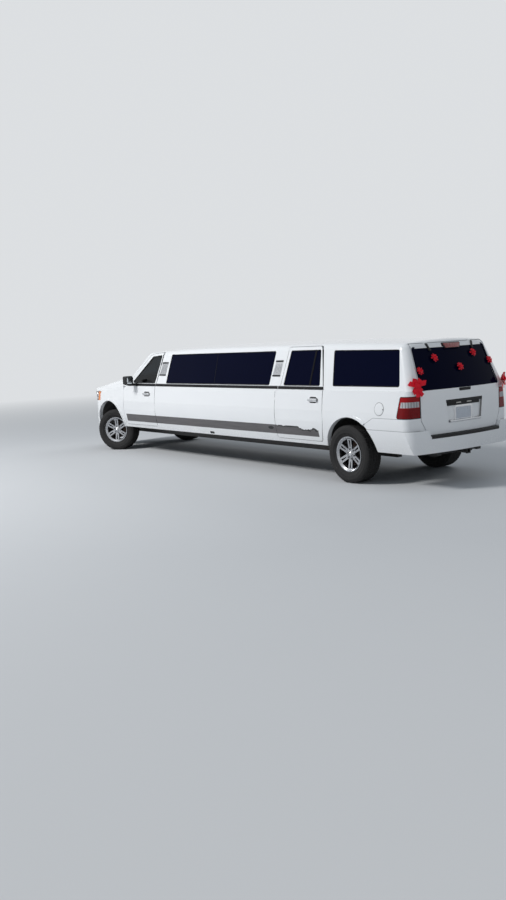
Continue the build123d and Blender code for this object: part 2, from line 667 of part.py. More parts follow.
# Front clip: bonnet, wings, bumper, lamps and grille cut from one shell
nose = nose_clip(0)
shell = (nose - nose_clip(NOSE_WALL)) + both(arch_lip(FRONT_ARCH)) - arch_hole(FRONT_ARCH)
shell = shell - block(DASH_X - 100, FRONT_ARCH[0], -OUTER, OUTER, 0, SILL_Z)
ahead = FRONT_X + REACH
lamp_zone = block(LAMP_REAR_X, ahead, LAMP_INNER, OUTER, LAMP_BOTTOM, LAMP_TOP - GAP)
grille_zone = block(NOSE_ZONE_X, ahead, -GRILLE_HALF, GRILLE_HALF, GRILLE_BOTTOM, LAMP_TOP - GAP)
frame_zone = block(NOSE_ZONE_X, ahead, -LAMP_INNER, LAMP_INNER, GRILLE_BOTTOM, LAMP_TOP - GAP)
bumper_zone = block(FRONT_BUMPER_X, ahead, -OUTER, OUTER, 0, LAMP_BOTTOM) - frame_zone
wing_zone = block(DASH_X, ahead, HOOD_SPLIT + GAP, OUTER, SILL_Z, HOOD_MID_Z + 200)
hood_zone = block(DASH_X + GAP, FRONT_X, -HOOD_SPLIT, HOOD_SPLIT, LAMP_TOP, HOOD_MID_Z + 200)
wing = (shell & wing_zone) - lamp_zone - bumper_zone
save((nose & hood_zone) - Pos(0, 0, -HOOD_THICK) * nose, "hood")
save_pair(wing, "front_wing")
intake = block(NOSE_ZONE_X, ahead, -INTAKE_HALF, INTAKE_HALF, *INTAKE_Z)
fog_ends = ((NOSE_ZONE_X, FOG_LAMP_Y, FOG_LAMP_Z), (ahead, FOG_LAMP_Y, FOG_LAMP_Z))
fog_hole = both(rod(*fog_ends, FOG_LAMP_RADIUS))
fog_rod = both(rod(*fog_ends, FOG_LAMP_RADIUS - SEAT))
save((shell & bumper_zone) - intake - fog_hole, "front_bumper")
save(both(shell & lamp_zone) + (shell & fog_rod), "headlamps")
rim_zone = block(
    NOSE_ZONE_X, ahead, -GRILLE_HALF + GRILLE_RIM, GRILLE_HALF - GRILLE_RIM,
    GRILLE_BOTTOM + GRILLE_RIM, LAMP_TOP - GAP - GRILLE_RIM,
)
grille = ((shell & frame_zone) - grille_zone) + ((shell & grille_zone) - rim_zone)
inside = LAMP_TOP - GAP - GRILLE_BOTTOM - 2 * GRILLE_RIM
for i in range(GRILLE_BARS):
    z = GRILLE_BOTTOM + GRILLE_RIM + inside * (i + 1) / (GRILLE_BARS + 1)
    bar = block(NOSE_ZONE_X, ahead, -GRILLE_HALF, GRILLE_HALF, z - GRILLE_BAR / 2, z + GRILLE_BAR / 2)
    grille = grille + (shell & bar)
save(grille, "grille")


# Wheels: a tyre and a rim of six split spokes, spun about Y at the hub's middle

tyre = ring(
    [
        (TYRE_EYE, -HALF_RIM + 18), (RIM_RADIUS + 12, -HALF_RIM + 6), (320, -HALF_TYRE),
        (368, -HALF_TYRE + 4), (TYRE_RADIUS, -HALF_TYRE + 32), (TYRE_RADIUS, HALF_TYRE - 32),
        (368, HALF_TYRE - 4), (320, HALF_TYRE), (RIM_RADIUS + 12, HALF_RIM - 6),
        (TYRE_EYE, HALF_RIM - 18), (BEAD_RADIUS + 22, HALF_RIM - 44),
        (375, HALF_TYRE - 30), (375, -HALF_TYRE + 30), (BEAD_RADIUS + 22, -HALF_RIM + 44),
    ],
    [(26, (2, 7)), (30, (4, 5))],
)
barrel = ring(
    [
        (BARREL, -HALF_RIM), (RIM_RADIUS, -HALF_RIM), (RIM_RADIUS, -HALF_RIM + 6),
        (BEAD_RADIUS, -HALF_RIM + 18), (BEAD_RADIUS, -40), (BEAD_RADIUS - 12, -24),
        (BEAD_RADIUS - 12, 24), (BEAD_RADIUS, 40), (BEAD_RADIUS, HALF_RIM - 18),
        (RIM_RADIUS, HALF_RIM - 6), (RIM_RADIUS, HALF_RIM), (RIM_RADIUS - 12, HALF_RIM),
        (BARREL + 6, HALF_RIM - 22), (BARREL, HALF_RIM - 60),
    ],
)
hub = ring(
    [
        (HUB_BORE, HUB_SEAT), (HUB_PLATE, HUB_SEAT), (HUB_PLATE, HUB_FACE + 12), (34, HUB_FACE + 22),
        (34, HUB_SEAT + 24), (HUB_BORE, HUB_SEAT + 24),
    ]
)
cap = ring(
    [
        (0, HUB_SEAT + 24), (34, HUB_SEAT + 24), (34, HUB_FACE + 26), (26, HUB_FACE + 32), (0, HUB_FACE + 34),
    ]
)
spoke_skin = ring(
    [(40, HUB_FACE - 16), (40, HUB_FACE + 12), (BARREL + 8, SPOKE_FACE + 8), (BARREL + 8, SPOKE_FACE - 24)]
)
spoke = wedge(60, BARREL + 8, SPOKE_ROOT, SPOKE_TIP) - wedge(104, BARREL - 9, SLOT_ROOT, SLOT_TIP)
spoke = spoke & spoke_skin
centre = hub + cap
for i in range(SPOKES):
    centre = centre + Rot(0, (i + 0.5) * 360 / SPOKES, 0) * spoke
for i in range(SPOKES):
    angle = radians((i + 0.25) * 360 / SPOKES)
    x = LUG_CIRCLE * cos(angle)
    z = LUG_CIRCLE * sin(angle)
    centre = centre + rod((x, HUB_FACE + 4, z), (x, HUB_FACE + 30, z), 10.5)
rim = barrel + centre
wheels = (
    # name, axle x, side, turned to the left by
    ("front_left", FRONT_AXLE_X, 1, REST_STEER),
    ("front_right", FRONT_AXLE_X, -1, REST_STEER),
    ("rear_left", REAR_AXLE_X, 1, 0.0),
    ("rear_right", REAR_AXLE_X, -1, 0.0),
)
for name, axle_x, side, turn in wheels:
    save(placed(tyre, axle_x, side, turn), "tyre_" + name)
    save(placed(rim, axle_x, side, turn), "rim_" + name)

# Knuckles carry the front hubs, discs and callipers, between the ball joints
spigot = ring(
    [(0, -60), (HUB_BORE - SPIGOT_FIT, -60), (HUB_BORE - SPIGOT_FIT, HUB_SEAT + 20), (0, HUB_SEAT + 20)]
)
flange = ring([(0, HUB_SEAT - 14), (78, HUB_SEAT - 14), (78, HUB_SEAT - SEAT), (0, HUB_SEAT - SEAT)])
disc = ring(
    [
        (30, DISC_Y - 14), (DISC_RADIUS, DISC_Y - 14), (DISC_RADIUS, DISC_Y + 14), (72, DISC_Y + 14),
        (72, HUB_SEAT - 10), (30, HUB_SEAT - 10),
    ]
)
disc_slot = ring(
    [(0, DISC_Y - 15), (DISC_RADIUS + 2, DISC_Y - 15), (DISC_RADIUS + 2, DISC_Y + 15), (0, DISC_Y + 15)]
)
calliper = block(-DISC_RADIUS - 13, -96, DISC_Y - 44, DISC_Y + 34, -60, 60) - disc_slot
bracket = block(-110, 10, DISC_Y - 44, DISC_Y - 22, -30, 30)
hub_group = spigot + flange + disc + calliper + bracket
kingpin = KINGPIN_Y - HALF_TRACK
lower_ball = LOWER_BALL_Z - WHEEL_Z
upper_ball = UPPER_BALL_Z - WHEEL_Z
upright = block(-30, 30, kingpin - 24, DISC_Y - 20, lower_ball + 26, upper_ball - 26)
knuckle = hub_group + upright + rod((0, kingpin, lower_ball - 16), (0, kingpin, upper_ball + 16), BALL_PIN)
for name, axle_x, side, turn in wheels[:2]:
    save(placed(knuckle, axle_x, side, turn), "knuckle_" + name)

# Rear axle: a cast middle, two tubes and the hubs
tube_half = HALF_TRACK - 55
rear_axle = Pos(REAR_AXLE_X, 0, WHEEL_Z) * Sphere(AXLE_MIDDLE)
rear_axle = rear_axle + rod((REAR_AXLE_X, -tube_half, WHEEL_Z), (REAR_AXLE_X, tube_half, WHEEL_Z), AXLE_TUBE)
rear_axle = rear_axle + rod((REAR_AXLE_X, 0, WHEEL_Z), (REAR_AXLE_X + 210, 0, WHEEL_Z), 46)
for name, axle_x, side, turn in wheels[2:]:
    rear_axle = rear_axle + placed(hub_group, axle_x, side, turn)
save(rear_axle, "rear_axle")

# Ladder frame: two rails, cross members, the axle's saddles and the hitch receiver
rail_in = RAIL_OUT - RAIL_WIDTH
rails = both(block(RAIL_REAR, RAIL_FRONT, rail_in, RAIL_OUT, RAIL_BOTTOM, FLOOR_BOTTOM))
frame = rails
for x in CROSS_MEMBERS:
    half = CROSS_WIDTH / 2
    frame = frame + block(x - half, x + half, -rail_in, rail_in, FLOOR_BOTTOM - CROSS_DEEP, FLOOR_BOTTOM)
frame = frame - rod((REAR_AXLE_X, -600, WHEEL_Z), (REAR_AXLE_X, 600, WHEEL_Z), AXLE_TUBE + GAP)
frame = frame - block(RAIL_REAR - 10, KICK_X, -RAIL_OUT - 10, RAIL_OUT + 10, RAIL_BOTTOM - 10, KICK_Z)
saddle = block(REAR_AXLE_X - 60, REAR_AXLE_X + 60, RAIL_OUT, RAIL_OUT + 60, WHEEL_Z, FLOOR_BOTTOM)
saddle = saddle - rod((REAR_AXLE_X, RAIL_OUT, WHEEL_Z), (REAR_AXLE_X, 600, WHEEL_Z), AXLE_TUBE + SEAT)
tower = block(FRONT_AXLE_X - 130, FRONT_AXLE_X + 130, rail_in, RAIL_OUT, FLOOR_BOTTOM - 10, FLOOR_BOTTOM + 50)
frame = frame + both(saddle) + both(tower)
draw_tube = rod((DRAW_TUBE_X, -RAIL_OUT + 20, RECEIVER_Z), (DRAW_TUBE_X, RAIL_OUT - 20, RECEIVER_Z), 32)
receiver = block(*RECEIVER_X, -RECEIVER, RECEIVER, RECEIVER_Z - RECEIVER, RECEIVER_Z + RECEIVER)
bore = (RECEIVER_Z - RECEIVER_BORE, RECEIVER_Z + RECEIVER_BORE)
cavity = block(REAR_X, DRAW_TUBE_X - 40, -RECEIVER_BORE, RECEIVER_BORE, *bore)
pin_hole = rod((PIN_X, -60, RECEIVER_Z), (PIN_X, 60, RECEIVER_Z), PIN_RADIUS)
frame = frame + draw_tube + receiver - cavity - pin_hole
save(frame, "ladder_frame")

# Front arms: two wishbones a side from the rails to the ball joints
wishbones = Pos(FRONT_AXLE_X, KINGPIN_Y, LOWER_BALL_Z) * Cylinder(BALL + 6, 32)
wishbones = wishbones + Pos(FRONT_AXLE_X, KINGPIN_Y, UPPER_BALL_Z) * Cylinder(BALL + 6, 32)
for ball_z, root_z in ((LOWER_BALL_Z, RAIL_BOTTOM + 30), (UPPER_BALL_Z, FLOOR_BOTTOM + 20)):
    for spread in (-100, 100):
        root = (FRONT_AXLE_X + spread, RAIL_OUT - 30, root_z)
        wishbones = wishbones + rod(root, (FRONT_AXLE_X, KINGPIN_Y, ball_z), BALL)
eye = rod((FRONT_AXLE_X, KINGPIN_Y, 200), (FRONT_AXLE_X, KINGPIN_Y, 600), BALL_PIN + PIN_FIT)
save(both(wishbones - eye - rails - tower), "front_arms")

# Floor with the wheel liners
floor_rear = TAIL_X + 82
floor = inner_low & block(floor_rear, BULKHEAD_X, -OUTER, OUTER, FLOOR_BOTTOM, FLOOR_TOP)
floor = floor - both(arch_disc(REAR_ARCH, ARCH_RADIUS, LINER_IN, OUTER))
tub_wall = arch_disc(REAR_ARCH, ARCH_RADIUS + LINER, LINER_IN - LINER, LINER_IN)
tub_wall = tub_wall & block(floor_rear, CABIN_X - 2000, 0, OUTER, SILL_Z, BELT_Z)
save(floor + both(arch_liner(REAR_ARCH, LINER_IN) + tub_wall), "floor")
save(both(arch_liner(FRONT_ARCH, RAIL_OUT + 60) - wing), "front_liners")

# Engine, tank and exhaust, seen from below
save(block(*ENGINE_X, -250, 250, FLOOR_BOTTOM + SEAT, 1050), "engine")
tank = block(CABIN_X - 2300, CABIN_X - 1100, -340, 340, 345, FLOOR_BOTTOM - SEAT)
save(fillet(tank.edges().filter_by(Axis.X), 40), "fuel_tank")
exhaust = rod((CABIN_X + 3300, EXHAUST_Y, EXHAUST_Z), (CABIN_X - 900, EXHAUST_Y, EXHAUST_Z), EXHAUST_RADIUS)
exhaust = exhaust + block(CABIN_X + 200, CABIN_X + 660, EXHAUST_Y - 120, EXHAUST_Y + 120, 320, 415)
for x in CROSS_MEMBERS[3:6]:
    hanger_top = FLOOR_BOTTOM - CROSS_DEEP - SEAT
    exhaust = exhaust + block(x - 12, x + 12, EXHAUST_Y - 10, EXHAUST_Y + 10, EXHAUST_Z, hanger_top)
save(exhaust, "exhaust")

# Mirrors: a rounded head on a short arm
mirror_head = block(*MIRROR_X, *MIRROR_Y, *MIRROR_Z)
mirror_head = fillet(mirror_head.edges(), MIRROR_ROUND)
arm_z = (MIRROR_Z[0] - 24, WINDOW_FOOT_Z - 4)
mirror_arm = block(MIRROR_X[0] + 34, MIRROR_X[1] - 26, CANT_HALF, MIRROR_Y[0] + 76, *arm_z)
save_pair(mirror_head + (mirror_arm - outer_high - outer_low), "mirror")

# Inside: dashboard with its steering wheel, seats, partition
dash = side_prism(
    [(BULKHEAD_X, 760), (BULKHEAD_X, 1230)]
    + stations([(2960, 1262), (2800, 1225), (2760, 1120), (2860, 900), (2900, 760)]),
    -INSIDE_HALF, INSIDE_HALF, [(30, (2, 3, 4))],
)
column = rod((CABIN_X + 2900, WHEEL_AT[1], 1010), WHEEL_AT, 24)
steering = Torus(185, 15) + Box(360, 40, 16) + Cylinder(45, 40)
steering = Plane(origin=WHEEL_AT, z_dir=(-0.90, 0, 0.42)) * steering
save(dash + column + steering, "dashboard")

seat_foot = FLOOR_TOP + SEAT
seats = both(seat(CABIN_X + 2060, 150, 680, seat_foot)) + seat(CABIN_X - 4050, -540, 540, seat_foot)
bench = block(*BENCH_X, -WIDE_HALF + 120, BENCH_FRONT_Y, seat_foot, FLOOR_TOP + 330)
bench = fillet(bench.edges().filter_by(Axis.X), 50)
rest = side_prism(
    [(BENCH_X[0], 760), (BENCH_X[1], 760), (BENCH_X[1], 1270), (BENCH_X[0], 1270)],
    -WIDE_HALF + 120, -WIDE_HALF + 240, [(60, (2, 3))],
)
save(seats + bench + rest, "seats")
partition = (inner_low + inner_high) & block(*PARTITION_X, -OUTER, OUTER, FLOOR_TOP + SEAT, HIGH)
partition = partition - block(PARTITION_X[0] - 60, PARTITION_X[1] + 100, -600, 600, 1250, 1750)
save(partition, "partition")
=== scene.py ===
import bpy
import bmesh
from math import cos, pi, radians, sin, sqrt, tan
from random import Random
from mathutils import Matrix, Vector


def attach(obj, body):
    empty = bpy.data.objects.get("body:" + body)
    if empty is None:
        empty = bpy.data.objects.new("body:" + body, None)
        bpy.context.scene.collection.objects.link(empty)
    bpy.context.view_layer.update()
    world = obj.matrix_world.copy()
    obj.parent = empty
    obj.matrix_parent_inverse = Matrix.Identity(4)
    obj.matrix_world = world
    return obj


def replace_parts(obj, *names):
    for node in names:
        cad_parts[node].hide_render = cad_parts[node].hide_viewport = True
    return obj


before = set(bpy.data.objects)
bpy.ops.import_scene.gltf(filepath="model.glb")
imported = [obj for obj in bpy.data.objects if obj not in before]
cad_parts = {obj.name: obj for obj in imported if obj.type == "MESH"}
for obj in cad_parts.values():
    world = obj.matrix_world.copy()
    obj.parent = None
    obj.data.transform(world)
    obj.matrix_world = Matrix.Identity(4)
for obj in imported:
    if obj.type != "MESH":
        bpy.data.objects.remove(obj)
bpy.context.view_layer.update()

# Camera: the view from the street behind the left rear corner.
# Its place and turn were fitted to the wheels, belt line, roof and rear corners of the car.
CAMERA_PLACE = Vector((-12.4656, 9.3279, 2.0865))
CAMERA_YAW = -0.632267
CAMERA_PITCH = 0.124736
CAMERA_ROLL = -0.054623
FOCAL = 35.86
FAR_CLIP = 200.0
UPWARD = Vector((0, 0, 1))


def show(name, data):
    """Puts an object that holds the data into the scene."""
    thing = bpy.data.objects.new(name, data)
    bpy.context.scene.collection.objects.link(thing)
    return thing


camera_data = bpy.data.cameras.new("camera")
camera_data.lens = FOCAL
camera_data.sensor_width = 36.0
camera_data.clip_end = FAR_CLIP
camera = show("camera", camera_data)
look = Vector((cos(CAMERA_YAW) * cos(CAMERA_PITCH), sin(CAMERA_YAW) * cos(CAMERA_PITCH), -sin(CAMERA_PITCH)))
right = look.cross(UPWARD).normalized()
up = right.cross(look)
camera_x = right * cos(CAMERA_ROLL) + up * sin(CAMERA_ROLL)
camera_y = up * cos(CAMERA_ROLL) - right * sin(CAMERA_ROLL)
turn = Matrix((camera_x, camera_y, -look)).transposed().to_4x4()
camera.matrix_world = Matrix.Translation(CAMERA_PLACE) @ turn
bpy.context.scene.camera = camera
bpy.context.scene.view_settings.view_transform = "Standard"

# Studio: a pale matt floor that fades into a pale surround, and soft lamps high on the left, as the sun
# stood. The tail is turned away from the main lamp and takes its light from the surround.
FLOOR_HALF = 90.0
FLOOR_COLOUR = (0.60, 0.61, 0.62)
FLOOR_MARKS = (0.52, 0.53, 0.55)
FLOOR_FADE = (7.0, 24.0)
SURROUND_LIGHT = (0.79, 0.89, 1.0)
SURROUND_POWER = 0.34
SURROUND_SEEN = (0.72, 0.74, 0.76)
LAMP_AIM = Vector((0, 0, 0.9))
LAMPS = (
    # name, place, size, watts, seen in reflections
    ("key", (4.0, 13.0, 12.0), 3.6, 2250.0, True),
    ("fill", (-13.0, 3.0, 7.0), 7.0, 90.0, False),
    ("far", (2.0, -13.0, 9.0), 8.0, 500.0, False),
)
BLACK = (0.0, 0.0, 0.0)


class Wire:
    """A shader socket on which arithmetic adds Math nodes."""

    def __init__(self, graph, socket):
        self.graph = graph
        self.socket = socket

    def maths(self, operation, *values):
        return self.graph.add("ShaderNodeMath", {"operation": operation}, dict(enumerate(values)))

    def __add__(self, other):
        return self.maths("ADD", self, other)

    def __sub__(self, other):
        return self.maths("SUBTRACT", self, other)

    def __rsub__(self, other):
        return self.maths("SUBTRACT", other, self)

    def __mul__(self, other):
        return self.maths("MULTIPLY", self, other)

    def __truediv__(self, other):
        return self.maths("DIVIDE", self, other)

    def __gt__(self, other):
        return self.maths("GREATER_THAN", self, other)

    def __lt__(self, other):
        return self.maths("LESS_THAN", self, other)

    def __abs__(self):
        return self.maths("ABSOLUTE", self)

    def larger(self, other):
        return self.maths("MAXIMUM", self, other)

    __radd__ = __add__
    __rmul__ = __mul__


class Graph:
    """A node tree whose nodes are all made by one method."""

    def __init__(self, tree):
        self.tree = tree

    def add(self, kind, settings, inputs, output=0):
        node = self.tree.nodes.new(kind)
        for key, value in settings.items():
            setattr(node, key, value)
        for key, value in inputs.items():
            if isinstance(value, Wire):
                self.tree.links.new(value.socket, node.inputs[key])
            else:
                node.inputs[key].default_value = value
        return Wire(self, node.outputs[output]) if node.outputs else None


class Finish(Graph):
    """A material with the part's own coordinates to hand, and the record's slot that it stands for."""

    def __init__(self, name, slot=None):
        self.material = bpy.data.materials.new(name)
        self.material.use_nodes = True
        self.slot = slot
        Graph.__init__(self, self.material.node_tree)
        self.shader = self.tree.nodes["Principled BSDF"]
        self.place = self.add("ShaderNodeTexCoord", {}, {}, "Object")
        self.facing = Wire(self, self.place.socket.node.outputs["Normal"])
        self.x, self.y, self.z = self.split(self.place)

    def split(self, vector):
        node = self.add("ShaderNodeSeparateXYZ", {}, {0: vector}).socket.node
        return [Wire(self, node.outputs[i]) for i in range(3)]

    def vector(self, operation, inputs, output=1):
        return self.add("ShaderNodeVectorMath", {"operation": operation}, inputs, output)

    def noise(self, scale, detail=3.0, rough=0.5, place=None):
        inputs = {"Vector": place or self.place, "Scale": scale, "Detail": detail, "Roughness": rough}
        return self.add("ShaderNodeTexNoise", {}, inputs)

    def stretched(self, x, y, z):
        return self.vector("MULTIPLY", {0: self.place, 1: (x, y, z)}, 0)

    def pebbles(self, scale):
        return self.add("ShaderNodeTexVoronoi", {}, {"Vector": self.place, "Scale": scale})

    def ramp(self, value, low, high):
        inputs = {"Value": value, "From Min": low, "From Max": high}
        return self.add("ShaderNodeMapRange", {"clamp": True}, inputs)

    def mix(self, amount, first, second):
        first = first if isinstance(first, Wire) else (*first, 1.0)
        second = second if isinstance(second, Wire) else (*second, 1.0)
        return self.add("ShaderNodeMix", {"data_type": "RGBA"}, {0: amount, 6: first, 7: second}, 2)

    def bump(self, height, strength, distance):
        return self.add("ShaderNodeBump", {}, {"Height": height, "Strength": strength, "Distance": distance})

    def set(self, **values):
        for key, value in values.items():
            socket = self.shader.inputs[key.replace("_", " ")]
            if isinstance(value, Wire):
                self.tree.links.new(value.socket, socket)
            else:
                socket.default_value = (*value, 1.0) if isinstance(value, tuple) else value
        return self


def mottled(name, slot, first, second, cloud, rough, bump=(), grain=(), share=1.0, **fixed):
    """A finish whose colour and gloss drift with one noise: cloud is that noise, rough its base and span.

    The bump's strength and distance work on the noise called grain, or else on the same noise.
    """
    finish = Finish(name, slot)
    drift = finish.noise(*cloud)
    colour = finish.mix(drift * share, first, second)
    finish.set(Base_Color=colour, Roughness=rough[0] + drift * rough[1], **fixed)
    if bump:
        finish.set(Normal=finish.bump(finish.noise(*grain) if grain else drift, *bump))
    return finish


tarmac = Finish("studio_floor")
far = tarmac.ramp(tarmac.vector("LENGTH", {0: tarmac.place}), *FLOOR_FADE)
near = tarmac.mix(tarmac.noise(1.5, 4.0, 0.6) * 0.1, FLOOR_COLOUR, FLOOR_MARKS)
tarmac.set(Base_Color=tarmac.mix(far, near, BLACK), Emission_Color=tarmac.mix(far, BLACK, SURROUND_SEEN),
           Emission_Strength=1.0, Roughness=0.9, Specular_IOR_Level=0.0)
floor_mesh = bpy.data.meshes.new("studio_floor")
corners = [(x * FLOOR_HALF, y * FLOOR_HALF, 0) for x, y in ((-1, -1), (1, -1), (1, 1), (-1, 1))]
floor_mesh.from_pydata(corners, [], [(0, 1, 2, 3)])
floor_mesh.materials.append(tarmac.material)
show("studio_floor", floor_mesh)

world = bpy.data.worlds.new("surround")
bpy.context.scene.world = world
world.use_nodes = True
world.node_tree.nodes.clear()
surround = Graph(world.node_tree)
rays = surround.add("ShaderNodeLightPath", {}, {}).socket.node
seen = Wire(surround, rays.outputs["Is Camera Ray"]).larger(Wire(surround, rays.outputs["Is Glossy Ray"]))
seen = seen.larger(Wire(surround, rays.outputs["Is Transmission Ray"]))
lighting, backdrop = [surround.add("ShaderNodeBackground", {}, {"Color": (*colour, 1.0), "Strength": power})
                      for colour, power in ((SURROUND_LIGHT, SURROUND_POWER), (SURROUND_SEEN, 1.0))]
choice = surround.add("ShaderNodeMixShader", {}, {0: seen, 1: lighting, 2: backdrop})
surround.add("ShaderNodeOutputWorld", {}, {0: choice})

for name, place, size, watts, reflected in LAMPS:
    light = bpy.data.lights.new(name, "AREA")
    light.size = size
    light.energy = watts
    lamp = show(name, light)
    lamp.location = place
    lamp.visible_glossy = reflected
    lamp.rotation_euler = (LAMP_AIM - Vector(place)).to_track_quat("-Z", "Y").to_euler()

# Painted body: pressed steel in white paint under lacquer, dusty low down, with trim inside the cabin.
# A dark vinyl band runs along the rocker from the front door to the rear door, where its top edge has
# torn, and a black stain shows at that door's front edge. The rear bumper's seam and crease are darkened as
# painted shade with dirt in them, and the door jambs are painted near black as the shade in the door gaps.
WHITE = (0.80, 0.81, 0.82)
WHITE_DULL = (0.75, 0.765, 0.785)
DUST = (0.40, 0.38, 0.34)
SEAM_SHADE_AND_DIRT = (0.16, 0.165, 0.18)
JAMB_SHADE = (0.030, 0.030, 0.032)
VINYL = (0.085, 0.080, 0.083)
VINYL_WORN = (0.125, 0.119, 0.122)
INK = (0.008, 0.008, 0.009)
LINING = (0.30, 0.295, 0.29)
BAND_FOOT = 0.613
BAND_TOP = 0.752
BAND_REAR = -2.690
BAND_FRONT = 3.012
TORN_FROM = -1.735
STAIN = (-1.575, 0.700)
STAIN_HALF = (0.085, 0.028)
BUMPER_WRAP = (3.640, 0.834)
BUMPER_TOP = (3.832, 0.935)
BUMPER_CREASE = 0.775
CANT = 1.86


def dress(finish, *names):
    """Gives CAD nodes their finish."""
    for name in names:
        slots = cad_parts[name].data.materials
        slots.clear()
        slots.append(finish.material)


def painted(name, lined, banded):
    """The body's paint: lined trims the faces turned inward, banded adds the vinyl band and painted shade on
    the door jambs.
    """
    coat = Finish(name, "white_paint")
    cloud = coat.noise(2.2, 4.0, 0.6)
    speck = coat.noise(34.0, 4.0, 0.7)
    dust = coat.ramp(coat.z + cloud * 0.16, 0.78, 0.50) * coat.ramp(speck, 0.40, 0.75)
    colour = coat.mix(cloud * 0.5, WHITE, WHITE_DULL)
    colour = coat.mix(dust * 0.28, colour, DUST)
    # Rear bumper seam and crease: a thin line painted darker, as painted shade of the seam and crease with dirt
    # in them.
    climb = coat.ramp(0 - coat.x, BUMPER_WRAP[0], BUMPER_TOP[0])
    seam = coat.z - (climb * (BUMPER_TOP[1] - BUMPER_WRAP[1]) + BUMPER_WRAP[1])
    seam_shade_and_dirt = (abs(seam) < 0.0035).larger(abs(coat.z - BUMPER_CREASE) < 0.0025)
    seam_shade_and_dirt = seam_shade_and_dirt * (coat.x < -BUMPER_WRAP[0]) * (abs(coat.y) > 0.80)
    colour = coat.mix(seam_shade_and_dirt * 0.7, colour, SEAM_SHADE_AND_DIRT)
    gloss = 0.20 + dust * 0.3
    lacquer = 0.7 - dust * 0.4
    if banded:
        torn = coat.x < TORN_FROM
        edge = BAND_TOP - torn * coat.ramp(coat.noise(5.5, 3.0, 0.6), 0.40, 0.66) * 0.055
        band = (coat.z > BAND_FOOT) * (coat.z < edge) * (coat.x > BAND_REAR) * (coat.x < BAND_FRONT)
        along = (coat.x - STAIN[0]) / STAIN_HALF[0]
        above = (coat.z - STAIN[1]) / STAIN_HALF[1]
        spill = along * along + above * above + coat.noise(40.0) * 0.8
        ink = ((coat.z > edge - 0.020) * torn).larger(spill < 1.1)
        worn = coat.noise(9.0, 5.0, 0.7, coat.stretched(0.25, 1.0, 4.0))
        vinyl = coat.mix(coat.ramp(worn, 0.35, 0.75), VINYL, VINYL_WORN)
        colour = coat.mix(band, colour, coat.mix(ink, vinyl, INK))
        gloss = gloss * (1 - band) + band * 0.42
        lacquer = lacquer * (1 - band)
    nx, ny, nz = coat.split(coat.facing)
    # Door jambs: the white door edges are painted near black, as painted shade for the depth of the door gaps.
    if banded:
        jamb_shade = (abs(nx) > 0.9) * (coat.z < CANT)
        colour = coat.mix(jamb_shade, colour, JAMB_SHADE)
        lacquer = lacquer * (1 - jamb_shade)
    if lined:
        inward = (ny * coat.y.maths("SIGN", coat.y)) < -0.3
        ceiling = (nz < -0.5) * (coat.z > 1.7)
        rearward = (nx > 0.6) * (coat.x < -4.3)
        inside = inward.larger(ceiling).larger(rearward)
        lining = coat.mix(coat.noise(420.0, 2.0, 0.6), LINING, [c * 0.82 for c in LINING])
        colour = coat.mix(inside, colour, lining)
        gloss = gloss * (1 - inside) + inside * 0.85
        lacquer = lacquer * (1 - inside)
    return coat.set(Base_Color=colour, Roughness=gloss, Coat_Weight=lacquer, Coat_Roughness=0.05,
                    Normal=coat.bump(coat.noise(55.0, 2.0, 0.5), 0.03, 0.001))


body_paint = painted("body_paint", False, False)
lined_paint = painted("lined_paint", True, False)
side_paint = painted("side_paint", True, True)
dress(body_paint, "front_wing_left", "front_wing_right", "hood", "front_bumper", "rear_bumper")
dress(lined_paint, "roof", "windscreen_frame", "quarter_panel_left", "quarter_panel_right", "tailgate")
dress(side_paint, "side_panel_left", "side_panel_right", "front_door_left", "front_door_right",
      "rear_door_left", "rear_door_right")

# Glass: dark privacy glass behind the front doors, lighter tinted glass in the front doors and windscreen,
# each pane held in a black rubber seal. The rear doors' glass has a divider bar near its rear edge.
SIDES = (("left", 1), ("right", -1))
BELT = 1.290
SHELF_HALF = 0.952
TUMBLE = 0.162 / 0.645
FRONT_DROP = (0.700, tan(radians(1.2)))
REAR_DROP = (-2.800, tan(radians(1.5)))
FLANK = ((1.000, 1.000), (0.740, 0.990), (0.495, 0.930))
FLANK_TOP = 0.965
SHARP_EDGE = 0.7
ARC_STEPS = 6
WINDOW_ROUND = 0.028
SEAL_WIDTH = 0.013
SEAL_PROUD = 0.0015
GLASS_BACK = 0.0078
SEAL_LIPS = (
    # in from the opening, depth under the skin
    (0.0008, GLASS_BACK), (0.0008, 0.0), (0.003, -SEAL_PROUD), (0.008, -SEAL_PROUD * 0.4),
    (SEAL_WIDTH - 0.002, 0.003), (SEAL_WIDTH, GLASS_BACK - 0.001), (SEAL_WIDTH, GLASS_BACK),
)
WINDOWS = (
    # name, body without its side, outline
    ("front_door_seal", "front_door_{}_body",
     ((2.812, 1.345), (2.142, 1.834), (1.802, 1.858), (1.938, 1.345))),
    ("rear_door_seal", "rear_door_{}_body",
     ((-1.872, 1.345), (-1.955, 1.860), (-2.632, 1.860), (-2.712, 1.345))),
    ("long_window_seal", "body", ((1.548, 1.345), (1.470, 1.860), (-1.590, 1.860), (-1.525, 1.345))),
    ("quarter_window_seal", "body", ((-2.985, 1.345), (-2.915, 1.845), (-4.180, 1.828), (-4.273, 1.345))),
)
DIVIDER = ((-2.481, 1.352), (-2.526, 1.853))
JOINT_FOOT = 1.352
JOINT_HEAD = 1.852


